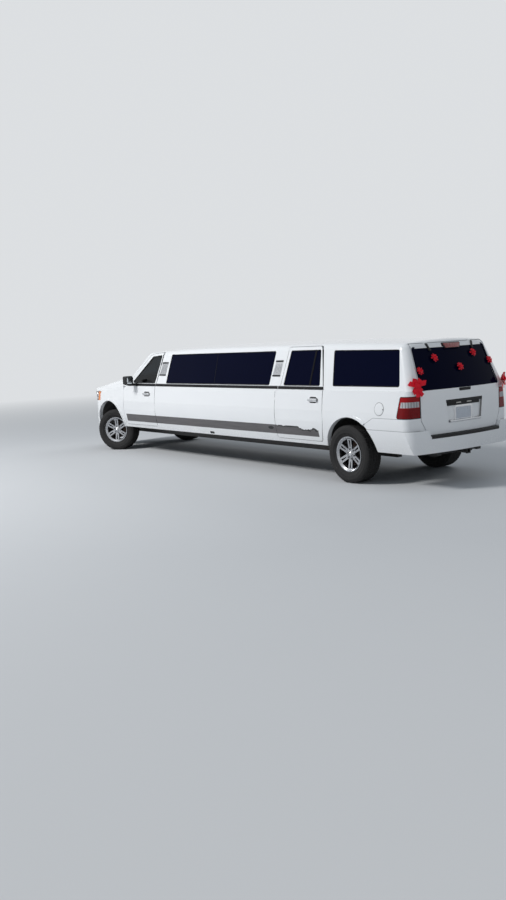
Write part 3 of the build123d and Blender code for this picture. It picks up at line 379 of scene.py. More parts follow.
class Mesh:
    """Points and faces gathered into one piece."""

    def __init__(self):
        self.points = []
        self.faces = []

    def add(self, points, faces):
        base = len(self.points)
        self.points.extend(Vector(p) for p in points)
        self.faces.extend([tuple(base + i for i in face) for face in faces])

    def grid(self, rows, closed_rows=False, closed_columns=False):
        """Rows of points joined into a surface."""
        wide = len(rows[0])
        faces = []
        for i in range(len(rows) if closed_rows else len(rows) - 1):
            below = (i + 1) % len(rows)
            for j in range(wide if closed_columns else wide - 1):
                beside = (j + 1) % wide
                faces.append((i * wide + j, i * wide + beside, below * wide + beside, below * wide + j))
        self.add([p for row in rows for p in row], faces)

    def rings(self, rows):
        """Closed loops of points joined into a surface."""
        self.grid(rows, closed_columns=True)

    def block(self, low, high, edge):
        """A box with chamfered edges."""
        centre = (Vector(low) + Vector(high)) / 2
        half = (Vector(high) - Vector(low)) / 2
        edge = min(edge, min(half) * 0.6)
        shape = bmesh.new()
        bmesh.ops.create_cube(shape, size=1.0)
        for v in shape.verts:
            v.co = Vector([v.co[k] * 2 * half[k] for k in range(3)])
        bmesh.ops.bevel(shape, geom=shape.edges[:], offset=edge, segments=2, affect="EDGES", profile=0.6)
        shape.verts.index_update()
        self.add([centre + v.co for v in shape.verts], [[v.index for v in f.verts] for f in shape.faces])
        shape.free()

    def tube(self, path, radius, sides, closed=False, squash=1.0):
        """A tube along points; squash thins it upward."""
        path = [Vector(p) for p in path]
        rows = []
        for i, here in enumerate(path):
            before = path[i - 1] if closed or i else here
            after = path[(i + 1) % len(path)] if closed or i < len(path) - 1 else here
            along = (after - before).normalized()
            across = along.cross(UPWARD).normalized()
            over = across.cross(along)
            rows.append([here + across * radius * cos(a) + over * radius * squash * sin(a)
                         for a in [2 * pi * k / sides for k in range(sides)]])
        self.grid(rows, closed_rows=closed, closed_columns=True)
        if not closed:
            end = len(self.points)
            first = end - len(rows) * sides
            self.faces.append(tuple(reversed(range(first, first + sides))))
            self.faces.append(tuple(range(end - sides, end)))

    def spin(self, profile, place, steps):
        """Radius and offset pairs spun about a placed axle, whose own direction is the second axis."""
        rows = []
        for i in range(steps):
            a = 2 * pi * i / steps
            rows.append([place @ Vector((r * cos(a), out, r * sin(a))) for r, out in profile])
        self.grid(rows, closed_rows=True)

    def piece(self, name, finish, body="body", slot=None, smooth=True):
        """Makes the gathered mesh an object that rides on a body."""
        mesh = bpy.data.meshes.new(name)
        mesh.from_pydata([tuple(p) for p in self.points], [], self.faces)
        shape = bmesh.new()
        shape.from_mesh(mesh)
        bmesh.ops.remove_doubles(shape, verts=shape.verts[:], dist=1e-6)
        bmesh.ops.recalc_face_normals(shape, faces=shape.faces[:])
        for face in shape.faces:
            face.smooth = smooth
        for line in shape.edges:
            if len(line.link_faces) == 2 and line.calc_face_angle() > SHARP_EDGE:
                line.smooth = False
        shape.to_mesh(mesh)
        shape.free()
        mesh.materials.append(finish.material)
        thing = show(name, mesh)
        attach(thing, body)
        return thing


def lofted(name, finish, rows, body="body", closed=True):
    """A piece made of one surface; closed joins the end of each row to its start."""
    mesh = Mesh()
    mesh.grid(rows, closed_columns=closed)
    mesh.piece(name, finish, body)


def boxes(name, finish, blocks, body="body"):
    """A piece made of chamfered boxes: the low corner, high corner and chamfer of each."""
    mesh = Mesh()
    for block in blocks:
        mesh.block(*block)
    return mesh.piece(name, finish, body)


def even(first, last, count):
    """Values spaced evenly, both ends among them."""
    return [first + (last - first) * k / count for k in range(count + 1)]


def skin(x, z):
    """Half width of the body's outer skin at a place along it and a height."""
    if z > BELT:
        drop = max(0.0, x - FRONT_DROP[0]) * FRONT_DROP[1] + max(0.0, REAR_DROP[0] - x) * REAR_DROP[1]
        return SHELF_HALF - (z + drop - BELT) * TUMBLE
    if z > FLANK[0][0]:
        return FLANK[0][1] - (z - FLANK[0][0]) * (FLANK[0][1] - FLANK_TOP) / (BELT - FLANK[0][0])
    total = 0.0
    for i, (height, half) in enumerate(FLANK):
        weight = half
        for j, (other, _) in enumerate(FLANK):
            if j != i:
                weight *= (z - other) / (height - other)
        total += weight
    return total


def over_skin(x, z, out, side):
    """A point so far out from the skin."""
    return Vector((x, side * (skin(x, z) + out), z))


def rounded(corners, radius):
    """An outline's corners turned into arcs."""
    loop = []
    for i, corner in enumerate(corners):
        here = Vector(corner)
        before = (Vector(corners[i - 1]) - here).normalized()
        after = (Vector(corners[(i + 1) % len(corners)]) - here).normalized()
        half = before.angle(after) / 2
        reach = radius / tan(half)
        centre = here + (before + after).normalized() * radius / sin(half)
        start = here + before * reach - centre
        sweep = start.angle_signed(here + after * reach - centre)
        for a in even(0, -sweep, ARC_STEPS):
            loop.append(centre + Matrix.Rotation(a, 2) @ start)
    return loop


def shrunk(loop, amount):
    """A loop moved inward along its own normals."""
    area = sum(a.x * b.y - b.x * a.y for a, b in zip(loop, loop[1:] + loop[:1]))
    way = 1 if area > 0 else -1
    moved = []
    for i, here in enumerate(loop):
        along = (loop[(i + 1) % len(loop)] - loop[i - 1]).normalized()
        moved.append(here + Vector((-along.y, along.x)) * amount * way)
    return moved


def on_side(loop, depth, side):
    """Puts a side-view loop on the flank, so deep under the skin."""
    return [over_skin(p.x, p.y, -depth, side) for p in loop]


def tinted(name, colour, clear, bend):
    """Glass of a colour, with the share of light it lets through and how far it bends that light."""
    return mottled(name, "dark_glass", colour, [c * 1.25 for c in colour], (1.2, 3.0, 0.6), (0.005, 0.02),
                   Transmission_Weight=clear, IOR=bend, Specular_IOR_Level=0.4)


privacy_glass = tinted("privacy_glass", (0.001, 0.002, 0.012), 0.0, 1.10)
tinted_glass = tinted("tinted_glass", (0.09, 0.11, 0.125), 1.0, 1.25)
dress(privacy_glass, "side_windows", "tailgate_glass", "rear_door_glass_left", "rear_door_glass_right")
dress(tinted_glass, "windscreen", "front_door_glass_left", "front_door_glass_right")

seal_rubber = mottled("seal_rubber", "black_plastic", (0.004, 0.004, 0.005), (0.012, 0.012, 0.013),
                      (60.0, 4.0, 0.6), (0.60, 0.2), (0.2, 0.001), Specular_IOR_Level=0.2)
for name, body, outline in WINDOWS:
    opening = rounded(outline, WINDOW_ROUND)
    for way, side in SIDES:
        seal = Mesh()
        seal.rings([on_side(shrunk(opening, reach), depth, side) for reach, depth in SEAL_LIPS])
        if name == "rear_door_seal":
            foot, head = [Vector(end) for end in DIVIDER]
            for offset in (-0.009, 0.009):
                line = [foot.lerp(head, t) + Vector((offset, 0)) for t in even(0, 1, 8)]
                seal.tube(on_side(line, GLASS_BACK - 0.001, side), 0.006, 6)
        seal.piece(name + "_" + way, seal_rubber, body.format(way))

joint = Mesh()
for way, side in SIDES:
    line = [Vector((0.0, z)) for z in even(JOINT_FOOT, JOINT_HEAD, 10)]
    joint.tube(on_side(line, GLASS_BACK + 0.001, side), 0.0042, 8)
joint.piece("long_window_joint", seal_rubber)

# Belt moulding: a black rubber strip under the side windows with a thin bright bead above it,
# cut where the doors open and clipped to the sheet metal.
MOULD_FOOT = 1.292
MOULD_TOP = 1.336
MOULD_PROUD = 0.006
BEAD_TOP = 1.343
MOULD_STEPS = 24
UNDER = -0.002
STRIPS = (
    # name, rear end, front end, body without its side
    ("front_door", 1.915, 2.905, "front_door_{}_body"),
    ("side", -1.745, 1.909, "body"),
    ("rear_door", -2.795, -1.755, "rear_door_{}_body"),
)

bright_trim = mottled("bright_trim", "bright_trim", (0.72, 0.73, 0.74), (0.60, 0.61, 0.63), (30.0, 3.0, 0.6),
                      (0.14, 0.14), Metallic=1.0)
for name, rear, front, body in STRIPS:
    for way, side in SIDES:
        strip = []
        bead = []
        for i, x in enumerate(even(rear, front, MOULD_STEPS)):
            out = MOULD_PROUD * (0.4 if i in (0, MOULD_STEPS) else 1.0)
            strip.append([over_skin(x, z, o, side) for z, o in (
                (MOULD_FOOT, UNDER), (MOULD_FOOT + 0.002, out * 0.8), (MOULD_FOOT + 0.010, out),
                (MOULD_TOP - 0.008, out), (MOULD_TOP, out * 0.6), (MOULD_TOP, UNDER))])
            bead.append([over_skin(x, z, o, side) for z, o in (
                (MOULD_TOP, UNDER), (MOULD_TOP, out * 0.8), (MOULD_TOP + 0.003, out), (BEAD_TOP, out * 0.6),
                (BEAD_TOP, UNDER))])
        lofted(name + "_belt_" + way, seal_rubber, strip, body.format(way), False)
        lofted(name + "_bead_" + way, bright_trim, bead, body.format(way), False)

# Louvres: five upright bright slats in a leaning frame on each pillar of the long window,
# stuck to the paint, with dark ends above and below the slats.
LOUVRES = (
    # name, foot front, foot rear, head front, head rear, foot height, head height
    ("louvre_front_", 1.815, 1.590, 1.752, 1.548, 1.492, 1.716),
    ("louvre_rear_", -1.575, -1.765, -1.620, -1.800, 1.486, 1.710),
)
SLATS = 5
SLAT_PROUD = 0.011
PLATE_PROUD = 0.0014

black_plastic = mottled("black_plastic", "black_plastic", (0.006, 0.006, 0.007), (0.022, 0.022, 0.023),
                        (4.0, 4.0, 0.6), (0.48, 0.15), (0.15, 0.0006), (380.0, 3.0, 0.6), 0.6,
                        Specular_IOR_Level=0.3)
for label, foot_front, foot_rear, head_front, head_rear, foot_z, head_z in LOUVRES:
    for way, side in SIDES:
        slats = Mesh()
        ends = Mesh()
        rows = []
        for t in even(0, 1, 8):
            z = foot_z + (head_z - foot_z) * t
            fore = foot_front + (head_front - foot_front) * t
            aft = foot_rear + (head_rear - foot_rear) * t
            rows.append([over_skin(x, z, o, side) for x, o in (
                (fore, UNDER), (fore, PLATE_PROUD), (aft, PLATE_PROUD), (aft, UNDER))])
        slats.grid(rows)
        wide = abs(foot_front - foot_rear) / SLATS * 0.33
        for k in range(SLATS):
            share = (k + 0.5) / SLATS
            foot = Vector((foot_front + (foot_rear - foot_front) * share, foot_z))
            head = Vector((head_front + (head_rear - head_front) * share, head_z))
            rows = []
            for t in even(0, 1, 8):
                x, z = foot.lerp(head, t)
                lift = SLAT_PROUD * (0.45 + 0.55 * sin(pi * t))
                rows.append([over_skin(x + dx, z, o, side) for dx, o in (
                    (-wide, UNDER), (-wide, lift * 0.5), (-wide * 0.2, lift), (wide * 0.6, lift * 0.55),
                    (wide, UNDER))])
            slats.grid(rows)
            for t in (0.015, 0.985):
                here = over_skin(*foot.lerp(head, t), 0.004, side)
                half = Vector((wide * 1.15, 0.007, 0.012))
                ends.block(here - half, here + half, 0.003)
        slats.piece(label + way + "_slats", bright_trim)
        ends.piece(label + way + "_ends", black_plastic)

# Door handles: a dark oval behind each bar, painted shade of the recess that the bar sits in, and a bright
# pull plate over the bar's face. The plate is plated metal.
HANDLE_Z = 1.148
HANDLES = (
    # name, rear end, front end, body without its side
    ("front_handle", 2.075, 2.300, "front_door_{}_body"),
    ("rear_handle", -2.698, -2.500, "rear_door_{}_body"),
)
SHADE_CUP_HALF = 0.044
SHADE_CUP_INSET = 0.012
PULL_HALF = 0.016


def oval(x0, x1, z, half, count):
    """A stadium-shaped loop in side view."""
    stretch = (x1 - x0) / 2 - half
    round_end = [half * Vector((cos(a), sin(a))) for a in even(0, 2 * pi, count)[:-1]]
    return [Vector(((x0 + x1) / 2 + (stretch if p.x > 0 else -stretch), z)) + p for p in round_end]


def scaled(loop, share):
    """A loop made larger or smaller about its middle."""
    middle = sum(loop, Vector((0, 0))) / len(loop)
    return [middle + (p - middle) * share for p in loop]


def side_dish(name, finish, loop, layers, side=1, body="body"):
    """A low dish on the flank: each layer is a share of the loop and a height over the skin."""
    lofted(name, finish, [on_side(scaled(loop, share), -lift, side) for share, lift in layers], body)


for name, rear, front, body in HANDLES:
    for way, side in SIDES:
        # A black oval dish behind the bar: painted shade of the handle's recess.
        shade_cup = oval(rear + SHADE_CUP_INSET, front - SHADE_CUP_INSET, HANDLE_Z, SHADE_CUP_HALF, 40)
        side_dish(name + "_shade_cup_" + way, black_plastic, shade_cup,
                  ((1.0, -0.001), (1.0, 0.0015), (0.93, 0.0022), (0.88, 0.0008), (0.0, 0.0006)), side,
                  body.format(way))
        rows = []
        for t in even(-1, 1, 12):
            x = (rear + front) / 2 + (front - rear) * 0.48 * t
            tall = PULL_HALF * (1 - 0.35 * t * t)
            rows.append([Vector((x, side * y, HANDLE_Z + z)) for y, z in (
                (1.0070, -tall), (1.0100, -tall * 0.8), (1.0125, 0.0), (1.0100, tall * 0.8), (1.0070, tall))])
        lofted(name + "_pull_" + way, bright_trim, rows, body.format(way), False)

# Fuel flap: a round steel door flush with the left quarter, painted with the body, with a dark gap round it
# and a finger notch.
FLAP = Vector((-3.946, 1.057))
FLAP_RADIUS = 0.084


def ring(middle, radius, count):
    """A round loop in side or rear view."""
    return [middle + Vector((cos(a), sin(a))) * radius for a in even(0, 2 * pi, count)[:-1]]


circle = ring(FLAP, FLAP_RADIUS, 56)
# The gap round the flap is drawn as a black ring on the skin: painted shade of the gap.
side_dish("fuel_flap_gap_shade", seal_rubber, circle,
          ((1.045, -0.001), (1.045, 0.0012), (0.99, 0.0012), (0.99, -0.001)))
side_dish("fuel_flap", body_paint, circle,
          ((0.985, -0.001), (0.985, 0.0026), (0.94, 0.0042), (0.5, 0.0046), (0.0, 0.0048)))
# The finger notch is drawn as a black dish on the flap: painted shade of the notch.
side_dish("fuel_flap_notch_shade", black_plastic, oval(FLAP.x - 0.083, FLAP.x - 0.066, FLAP.y - 0.004, 0.008, 20),
          ((1.0, 0.003), (0.9, 0.0058), (0.0, 0.0058)))

# Rocker drain: an oval hole in the white sill, on both sides. It is pressed through the steel and lined with a
# black plastic lip; the hole itself is drawn as a black dish, painted shade inside it.
for way, side in SIDES:
    side_dish("sill_hole_shade_" + way, black_plastic, oval(0.048, 0.176, 0.531, 0.019, 32),
              ((1.0, -0.001), (1.0, 0.0025), (0.86, 0.003), (0.80, 0.0006), (0.0, 0.0005)), side)

# Wheels: all-season tyres with ribs, grooves and shoulder blocks, on six-spoke alloy rims whose faces are
# machined bright and whose sides and barrels are coloured near black. Steel discs sit behind them.
AXLE_Z = 0.405
KINGPIN_Y = 0.780
HALF_TRACK = 0.850
TURNED = radians(30.0)
PITCHES = 66
GROOVE = 0.008
RIB_INSET = 0.0004
SHOULDER_CUT = 0.004
AXLES = (
    # name, axle x, side, turn
    ("front_left", 3.670, 1, TURNED),
    ("front_right", 3.670, -1, TURNED),
    ("rear_left", -3.290, 1, 0.0),
    ("rear_right", -3.290, -1, 0.0),
)
SIDEWALL = (
    # radius, offset from the wheel's middle
    (0.2300, 0.098), (0.2420, 0.107), (0.2600, 0.1105), (0.2660, 0.1145), (0.2740, 0.1165), (0.2790, 0.1205),
    (0.3000, 0.1310), (0.3060, 0.1345), (0.3110, 0.1335), (0.3250, 0.1370), (0.3450, 0.1372), (0.3500, 0.1390),
    (0.3550, 0.1365), (0.3680, 0.1345), (0.3780, 0.1305), (0.3880, 0.1265), (0.3965, 0.1200), (0.4020, 0.1120),
)
CARCASS = ((0.252, -0.070), (0.375, -0.107), (0.375, 0.107), (0.252, 0.070))
RIBS = (
    # half width from, to, grooved across at phases
    (0.112, 0.078, (0,)), (0.078, 0.070, None), (0.070, 0.032, (2,)), (0.032, 0.024, None),
    (0.024, -0.024, (1,)),
)
HUB_CAP = ((0.0, 0.0975), (0.018, 0.0968), (0.027, 0.0945), (0.0325, 0.0905), (0.0335, 0.086))
VALVE_RADIUS = 0.196
VALVE_ANGLE = 0.2
VALVE_STEPS = ((0.0, 0.0), (-0.004, 0.018), (-0.010, 0.034))


def wheel_place(axle_x, side, turn):
    """Takes a point given along, out from and above a hub to where that hub stands."""
    out = Matrix.Diagonal((1, side, 1, 1))
    arm = Matrix.Translation((0, side * (HALF_TRACK - KINGPIN_Y), 0))
    return Matrix.Translation((axle_x, side * KINGPIN_Y, AXLE_Z)) @ Matrix.Rotation(turn, 4, "Z") @ arm @ out


def tread_profile():
    """Radius, offset and the phase in which a groove crosses, from the outer bead to the inner bead."""
    outer = [(r, o, None) for r, o in SIDEWALL]
    crown = []
    for start, stop, phases in RIBS:
        radius = AXLE_Z - (0.0 if phases else GROOVE)
        crown.append((radius, start - RIB_INSET, phases))
        crown.append((radius, stop + RIB_INSET, phases))
    mirrored = [(r, -o, phases) for r, o, phases in reversed(crown[:-2])]
    inner = [(r, -o, None) for r, o, _ in reversed(outer)]
    return outer + crown + mirrored + inner + [(r, o, None) for r, o in CARCASS]


def tread(place):
    """Rows of points round a tyre, four to each pitch of its tread."""
    rows = []
    profile = tread_profile()
    steps = PITCHES * 4
    for i in range(steps):
        a = 2 * pi * i / steps
        row = []
        for r, o, phases in profile:
            if phases and i % 4 in phases:
                r -= GROOVE * 0.9
            if r > 0.385 and phases is None and abs(o) > 0.11 and i % 4 == 0:
                r -= SHOULDER_CUT
            row.append(place @ Vector((r * cos(a), o, r * sin(a))))
        rows.append(row)
    return rows


tyre_rubber = mottled("tyre_rubber", "tyre_rubber", (0.012, 0.012, 0.013), (0.034, 0.033, 0.032),
                      (7.0, 5.0, 0.65), (0.72, 0.15), (0.12, 0.0006), (240.0, 3.0, 0.6),
                      Specular_IOR_Level=0.25)
for name, axle_x, side, turned in AXLES:
    place = wheel_place(axle_x, side, turned)
    body = "wheel_" + name
    tyre = Mesh()
    tyre.grid(tread(place), closed_rows=True, closed_columns=True)
    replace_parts(tyre.piece("tyre_tread_" + name, tyre_rubber, body), "tyre_" + name)

    alloy = Finish("alloy_" + name)
    axle = (place.to_3x3() @ Vector((0, 1, 0))).normalized()
    out = alloy.vector("DOT_PRODUCT", {0: alloy.facing, 1: tuple(axle)})
    reach = alloy.vector("DISTANCE", {0: alloy.place, 1: tuple(place @ Vector((0, 0.075, 0)))})
    # The rim's faces turned outward are bright; spoke sides, barrel and the middle of the hub are coloured near
    # black.
    face = (out > 0.72) * (reach > 0.033)
    grime = alloy.noise(14.0, 4.0, 0.6)
    metal = alloy.mix(face, (0.020, 0.021, 0.024), (0.46, 0.47, 0.49))
    metal = alloy.mix(alloy.ramp(grime, 0.45, 0.8) * 0.5, metal, (0.12, 0.11, 0.10))
    brushed = alloy.noise(120.0, 2.0, 0.7)
    alloy.set(Base_Color=metal, Metallic=0.35 + face * 0.6, Roughness=0.42 - face * 0.2 + grime * 0.1,
              Coat_Weight=0.4, Coat_Roughness=0.08, Normal=alloy.bump(brushed, 0.06, 0.0005))
    dress(alloy, "rim_" + name)

    cap = Mesh()
    cap.spin(HUB_CAP, place, 40)
    cap.piece("hub_cap_" + name, bright_trim, body, "alloy")
    stem = Mesh()
    root = Vector((VALVE_RADIUS * cos(VALVE_ANGLE), 0.088, VALVE_RADIUS * sin(VALVE_ANGLE)))
    stem.tube([place @ (root + Vector((back, out, 0))) for back, out in VALVE_STEPS], 0.0045, 10)
    stem.piece("valve_" + name, seal_rubber, body)

# Tail lamps: moulded lenses wrapped round both rear corners, deep red above and below a clear reversing band,
# with a fine grid of reflectors in the lower part and a dark seal round the edge.
LENS_FOOT = 0.937
LENS_HEAD = 1.226
LENS_FRONT = (-4.262, -4.316)
LENS_INNER = 0.797
LENS_SEAL = 0.009
CLEAR_BAND = (1.082, 1.154)
REFLECTOR = 0.0115


def grid_line(along, size, wide):
    """One on thin lines that repeat at a pitch, and nought between them."""
    share = along / size
    return abs(share.maths("FRACT", share) - 0.5) > 0.5 - wide


tail_lens = Finish("tail_lens", "lamp_red")
slope = (LENS_FRONT[1] - LENS_FRONT[0]) / (LENS_HEAD - LENS_FOOT)
from_front = (tail_lens.z - LENS_FOOT) * slope + LENS_FRONT[0] - tail_lens.x
across = abs(tail_lens.y)
border = (tail_lens.z < LENS_FOOT + LENS_SEAL).larger(tail_lens.z > LENS_HEAD - 0.008)
border = border.larger(from_front < LENS_SEAL).larger(across < LENS_INNER)
clear = (tail_lens.z > CLEAR_BAND[0]) * (tail_lens.z < CLEAR_BAND[1])
clear = clear * (from_front > 0.036) * (across > LENS_INNER + 0.008)
low = tail_lens.z < CLEAR_BAND[0] - 0.008
along = tail_lens.x + across
cells = grid_line(along, REFLECTOR, 0.09).larger(grid_line(tail_lens.z, REFLECTOR, 0.09))
ribs = grid_line(along, 0.052, 0.10)
murk = tail_lens.noise(26.0, 3.0, 0.6)
red = tail_lens.mix(murk * 0.5, (0.32, 0.002, 0.005), (0.20, 0.001, 0.003))
red = tail_lens.mix(low * (0.38 + cells * 0.35), red, (0.040, 0.001, 0.002))
glow = tail_lens.mix(ribs * 0.8 + murk * 0.25, (0.50, 0.49, 0.50), (0.09, 0.07, 0.08))
shade = tail_lens.mix(border, tail_lens.mix(clear, red, glow), (0.012, 0.004, 0.004))
tail_lens.set(Base_Color=shade, Roughness=0.14 + low * 0.10, Specular_IOR_Level=0.18,
              Normal=tail_lens.bump(cells * low + ribs * clear, 0.25, 0.0012))
dress(tail_lens, "tail_lamps")

# High brake lamp: a red fluted lens in a black plastic housing like a flat bowl,
# screwed over the tail glass's top edge.
TAIL_X = -4.562
TAIL_RADIUS = 4.5
TAIL_RAKE = 0.406
HIGH_LAMP = ((0.188, 1.884), (-0.188, 1.884), (-0.146, 1.806), (0.146, 1.806))
HIGH_LAMP_Z = 1.845


def tail(y, z):
    """Where the tail's outer skin stands, at a place across it and a height."""
    return TAIL_X + TAIL_RADIUS - sqrt(TAIL_RADIUS ** 2 - y * y) + max(0.0, z - BELT) * TAIL_RAKE


def on_tail(loop, depth):
    """Puts a rear-view loop on the tail, so deep under its skin."""
    return [Vector((tail(p.x, p.y) + depth, p.x, p.y)) for p in loop]


def tail_dish(name, finish, loop, layers):
    """A low dish on the tailgate: each layer is a share of the loop and a height over the skin."""
    lofted(name, finish, [on_tail(scaled(loop, share), -lift) for share, lift in layers], "liftgate")


brake_lens = mottled("brake_lens", "lamp_red", (0.26, 0.008, 0.010), (0.13, 0.004, 0.006), (18.0, 3.0, 0.6),
                     (0.22, 0.1), share=0.6, Coat_Weight=0.8, Coat_Roughness=0.05)
brake_lens.set(Normal=brake_lens.bump(grid_line(brake_lens.y, 0.009, 0.12), 0.3, 0.001))
dress(brake_lens, "high_brake_lamp")
tail_dish("high_lamp_housing", black_plastic, rounded(HIGH_LAMP, 0.014),
          ((1.0, -0.001), (1.0, 0.008), (0.975, 0.017), (0.94, 0.021), (0.925, 0.021), (0.92, 0.0165),
           (0.0, 0.0165)))
lens_corners = [(y * 0.905, HIGH_LAMP_Z + (z - HIGH_LAMP_Z) * 0.80) for y, z in HIGH_LAMP]
tail_dish("high_lamp_lens", brake_lens, rounded(lens_corners, 0.010),
          ((1.0, 0.016), (0.985, 0.0215), (0.93, 0.0235), (0.0, 0.0250)))

# Tail glass: a frameless dark pane that opens by itself on two black hinges.
# Its painted edge laps over the tailgate.
TAIL_GLASS = ((0.748, 1.287), (0.695, 1.828), (-0.695, 1.828), (-0.748, 1.287))
TAIL_GLASS_EDGE = ((0.772, 1.284), (0.707, 1.848), (-0.707, 1.848), (-0.772, 1.284))
HINGE_Y = 0.434

opening = rounded(TAIL_GLASS, 0.035)
edge = rounded(TAIL_GLASS_EDGE, 0.040)
lofted("tail_glass_border", privacy_glass, [on_tail(loop, depth) for loop, depth in (
    (opening, GLASS_BACK), (opening, -0.001), (shrunk(edge, 0.004), -0.0035), (edge, -0.0025), (edge, 0.001))],
       "liftgate")
for way, side in SIDES:
    y = side * HINGE_Y
    lean = side * 0.016
    head = y + lean
    foot = y - lean
    arm = ((head + 0.018, 1.888), (head - 0.018, 1.888), (foot - 0.015, 1.784), (foot + 0.015, 1.784))
    tail_dish("glass_hinge_" + way, black_plastic, rounded(arm, 0.010),
              ((1.0, -0.001), (1.0, 0.009), (0.93, 0.0125), (0.6, 0.0140), (0.0, 0.0140)))
    tail_dish("glass_hinge_stud_" + way, black_plastic, ring(Vector((foot, 1.802)), 0.015, 24),
              ((1.0, 0.010), (1.0, 0.0175), (0.85, 0.0190), (0.0, 0.0195)))

# Tailgate latch: a dark plastic pull handle under the glass, with a finger recess below its lip.
# Both are screwed on from inside the tailgate.
tail_dish("latch_recess", black_plastic,
          rounded(((0.118, 1.284), (-0.118, 1.284), (-0.108, 1.244), (0.108, 1.244)), 0.010),
          ((1.0, -0.001), (1.0, 0.0030), (0.96, 0.0040), (0.93, 0.0012), (0.0, 0.0010)))
tail_dish("latch_handle", black_plastic,
          rounded(((0.094, 1.281), (-0.094, 1.281), (-0.090, 1.262), (0.090, 1.262)), 0.006),
          ((1.0, 0.0008), (1.0, 0.0085), (0.96, 0.0115), (0.0, 0.0125)))

# Plate recess: its floor and flanks are body metal. A black moulding with two lamps hangs from its top edge,
# and its black also stands as painted shadow under that edge. A bright lip closes its foot. The blank plate is
# pressed alloy on two screws, in a bright holder.
RECESS_FLOOR = -4.520
PLATE_CORNERS = ((0.1525, 1.024), (-0.1525, 1.024), (-0.1525, 0.872), (0.1525, 0.872))
LIP_HALF = 0.306
LAMP_Y = 0.105
SCREW_Y = 0.089
SCREW_Z = 0.995


def upright(loop, x, side=1):
    """Puts a rear-view loop on an upright plane across the car."""
    return [Vector((x, side * p.x, p.y)) for p in loop]


# A black moulding across the recess's top edge holds the lamps; its black is also painted shadow under that
# edge.
boxes("plate_lamp_moulding_and_shade", black_plastic, (
    ((-4.556, -0.352, 1.098), (RECESS_FLOOR + 0.004, 0.352, 1.137), 0.006),
    ((-4.535, -0.316, 1.056), (RECESS_FLOOR + 0.004, 0.316, 1.100), 0.006)), "liftgate")
lamp_glass = mottled("plate_lamp_lens", "lamp_clear", (0.62, 0.60, 0.55), (0.42, 0.40, 0.37), (60.0, 2.0, 0.5),
                     (0.3, 0.1), Coat_Weight=0.6)
for way, side in SIDES:
    y = side * LAMP_Y
    boxes("plate_lamp_" + way, lamp_glass, [((-4.542, y - 0.045, 1.080), (-4.530, y + 0.045, 1.096), 0.004)],
          "liftgate")
rows = []
for y in even(-LIP_HALF, LIP_HALF, 24):
    face = tail(y, 0.85)
    rows.append([Vector((x, y, z)) for x, z in (
        (RECESS_FLOOR + 0.002, 0.872), (face - 0.004, 0.869), (face - 0.013, 0.863), (face - 0.015, 0.852),
        (face - 0.011, 0.841), (face + 0.003, 0.836))])
lofted("plate_recess_lip", bright_trim, rows, "liftgate", False)

blank_plate = mottled("blank_plate", "alloy", (0.56, 0.60, 0.66), (0.40, 0.43, 0.48), (22.0, 5.0, 0.7),
                      (0.38, 0.15), share=0.8, Coat_Weight=0.2)
loop = rounded(PLATE_CORNERS, 0.013)
lofted("number_plate", blank_plate, [upright(scaled(loop, share), RECESS_FLOOR - lift) for share, lift in (
    (1.0, 0.0), (1.0, 0.0030), (0.985, 0.0052), (0.955, 0.0052), (0.940, 0.0028), (0.0, 0.0028))], "liftgate")
lofted("plate_holder", bright_trim, [upright(shrunk(loop, -grow), RECESS_FLOOR - lift) for grow, lift in (
    (-0.003, 0.0022), (-0.003, 0.0060), (0.018, 0.0072), (0.027, 0.0060), (0.027, 0.0))], "liftgate")
for way, side in SIDES:
    middle = Vector((side * SCREW_Y, SCREW_Z))
    rows = [upright(ring(middle, radius, 18), RECESS_FLOOR - lift) for radius, lift in (
        (0.0072, 0.0020), (0.0072, 0.0060), (0.0058, 0.0072), (0.0026, 0.0074), (0.0022, 0.0058),
        (0.0, 0.0058))]
    lofted("plate_screw_" + way, bright_trim, rows, "liftgate")

# Step pad: a tread over the bumper's loading step and its rear edge.
# It is moulded in black rubber with four ribs, and clipped on.
PAD_HALF = 0.676
STEP_Z = 0.692
PAD_RIBS = 4
BUMPER_X = -4.620

rows = []
for y in even(-PAD_HALF, PAD_HALF, 48):
    edge = tail(y, STEP_Z) + BUMPER_X - TAIL_X
    front = tail(y, STEP_Z) - 0.004
    section = [(front, -0.001), (front, 0.006)]
    for rib in range(PAD_RIBS):
        at = front + (edge + 0.010 - front) * (rib + 0.5) / PAD_RIBS
        section += [(at + 0.0045, 0.0050), (at + 0.0025, 0.0085), (at - 0.0025, 0.0085), (at - 0.0045, 0.0050)]
    section += [(edge + 0.004, 0.009), (edge - 0.004, 0.003), (edge - 0.005, -0.012), (edge - 0.0045, -0.030),
                (edge + 0.002, -0.034)]
    rows.append([Vector((x, y, STEP_Z + lift)) for x, lift in section])
lofted("step_pad", black_plastic, rows, closed=False)

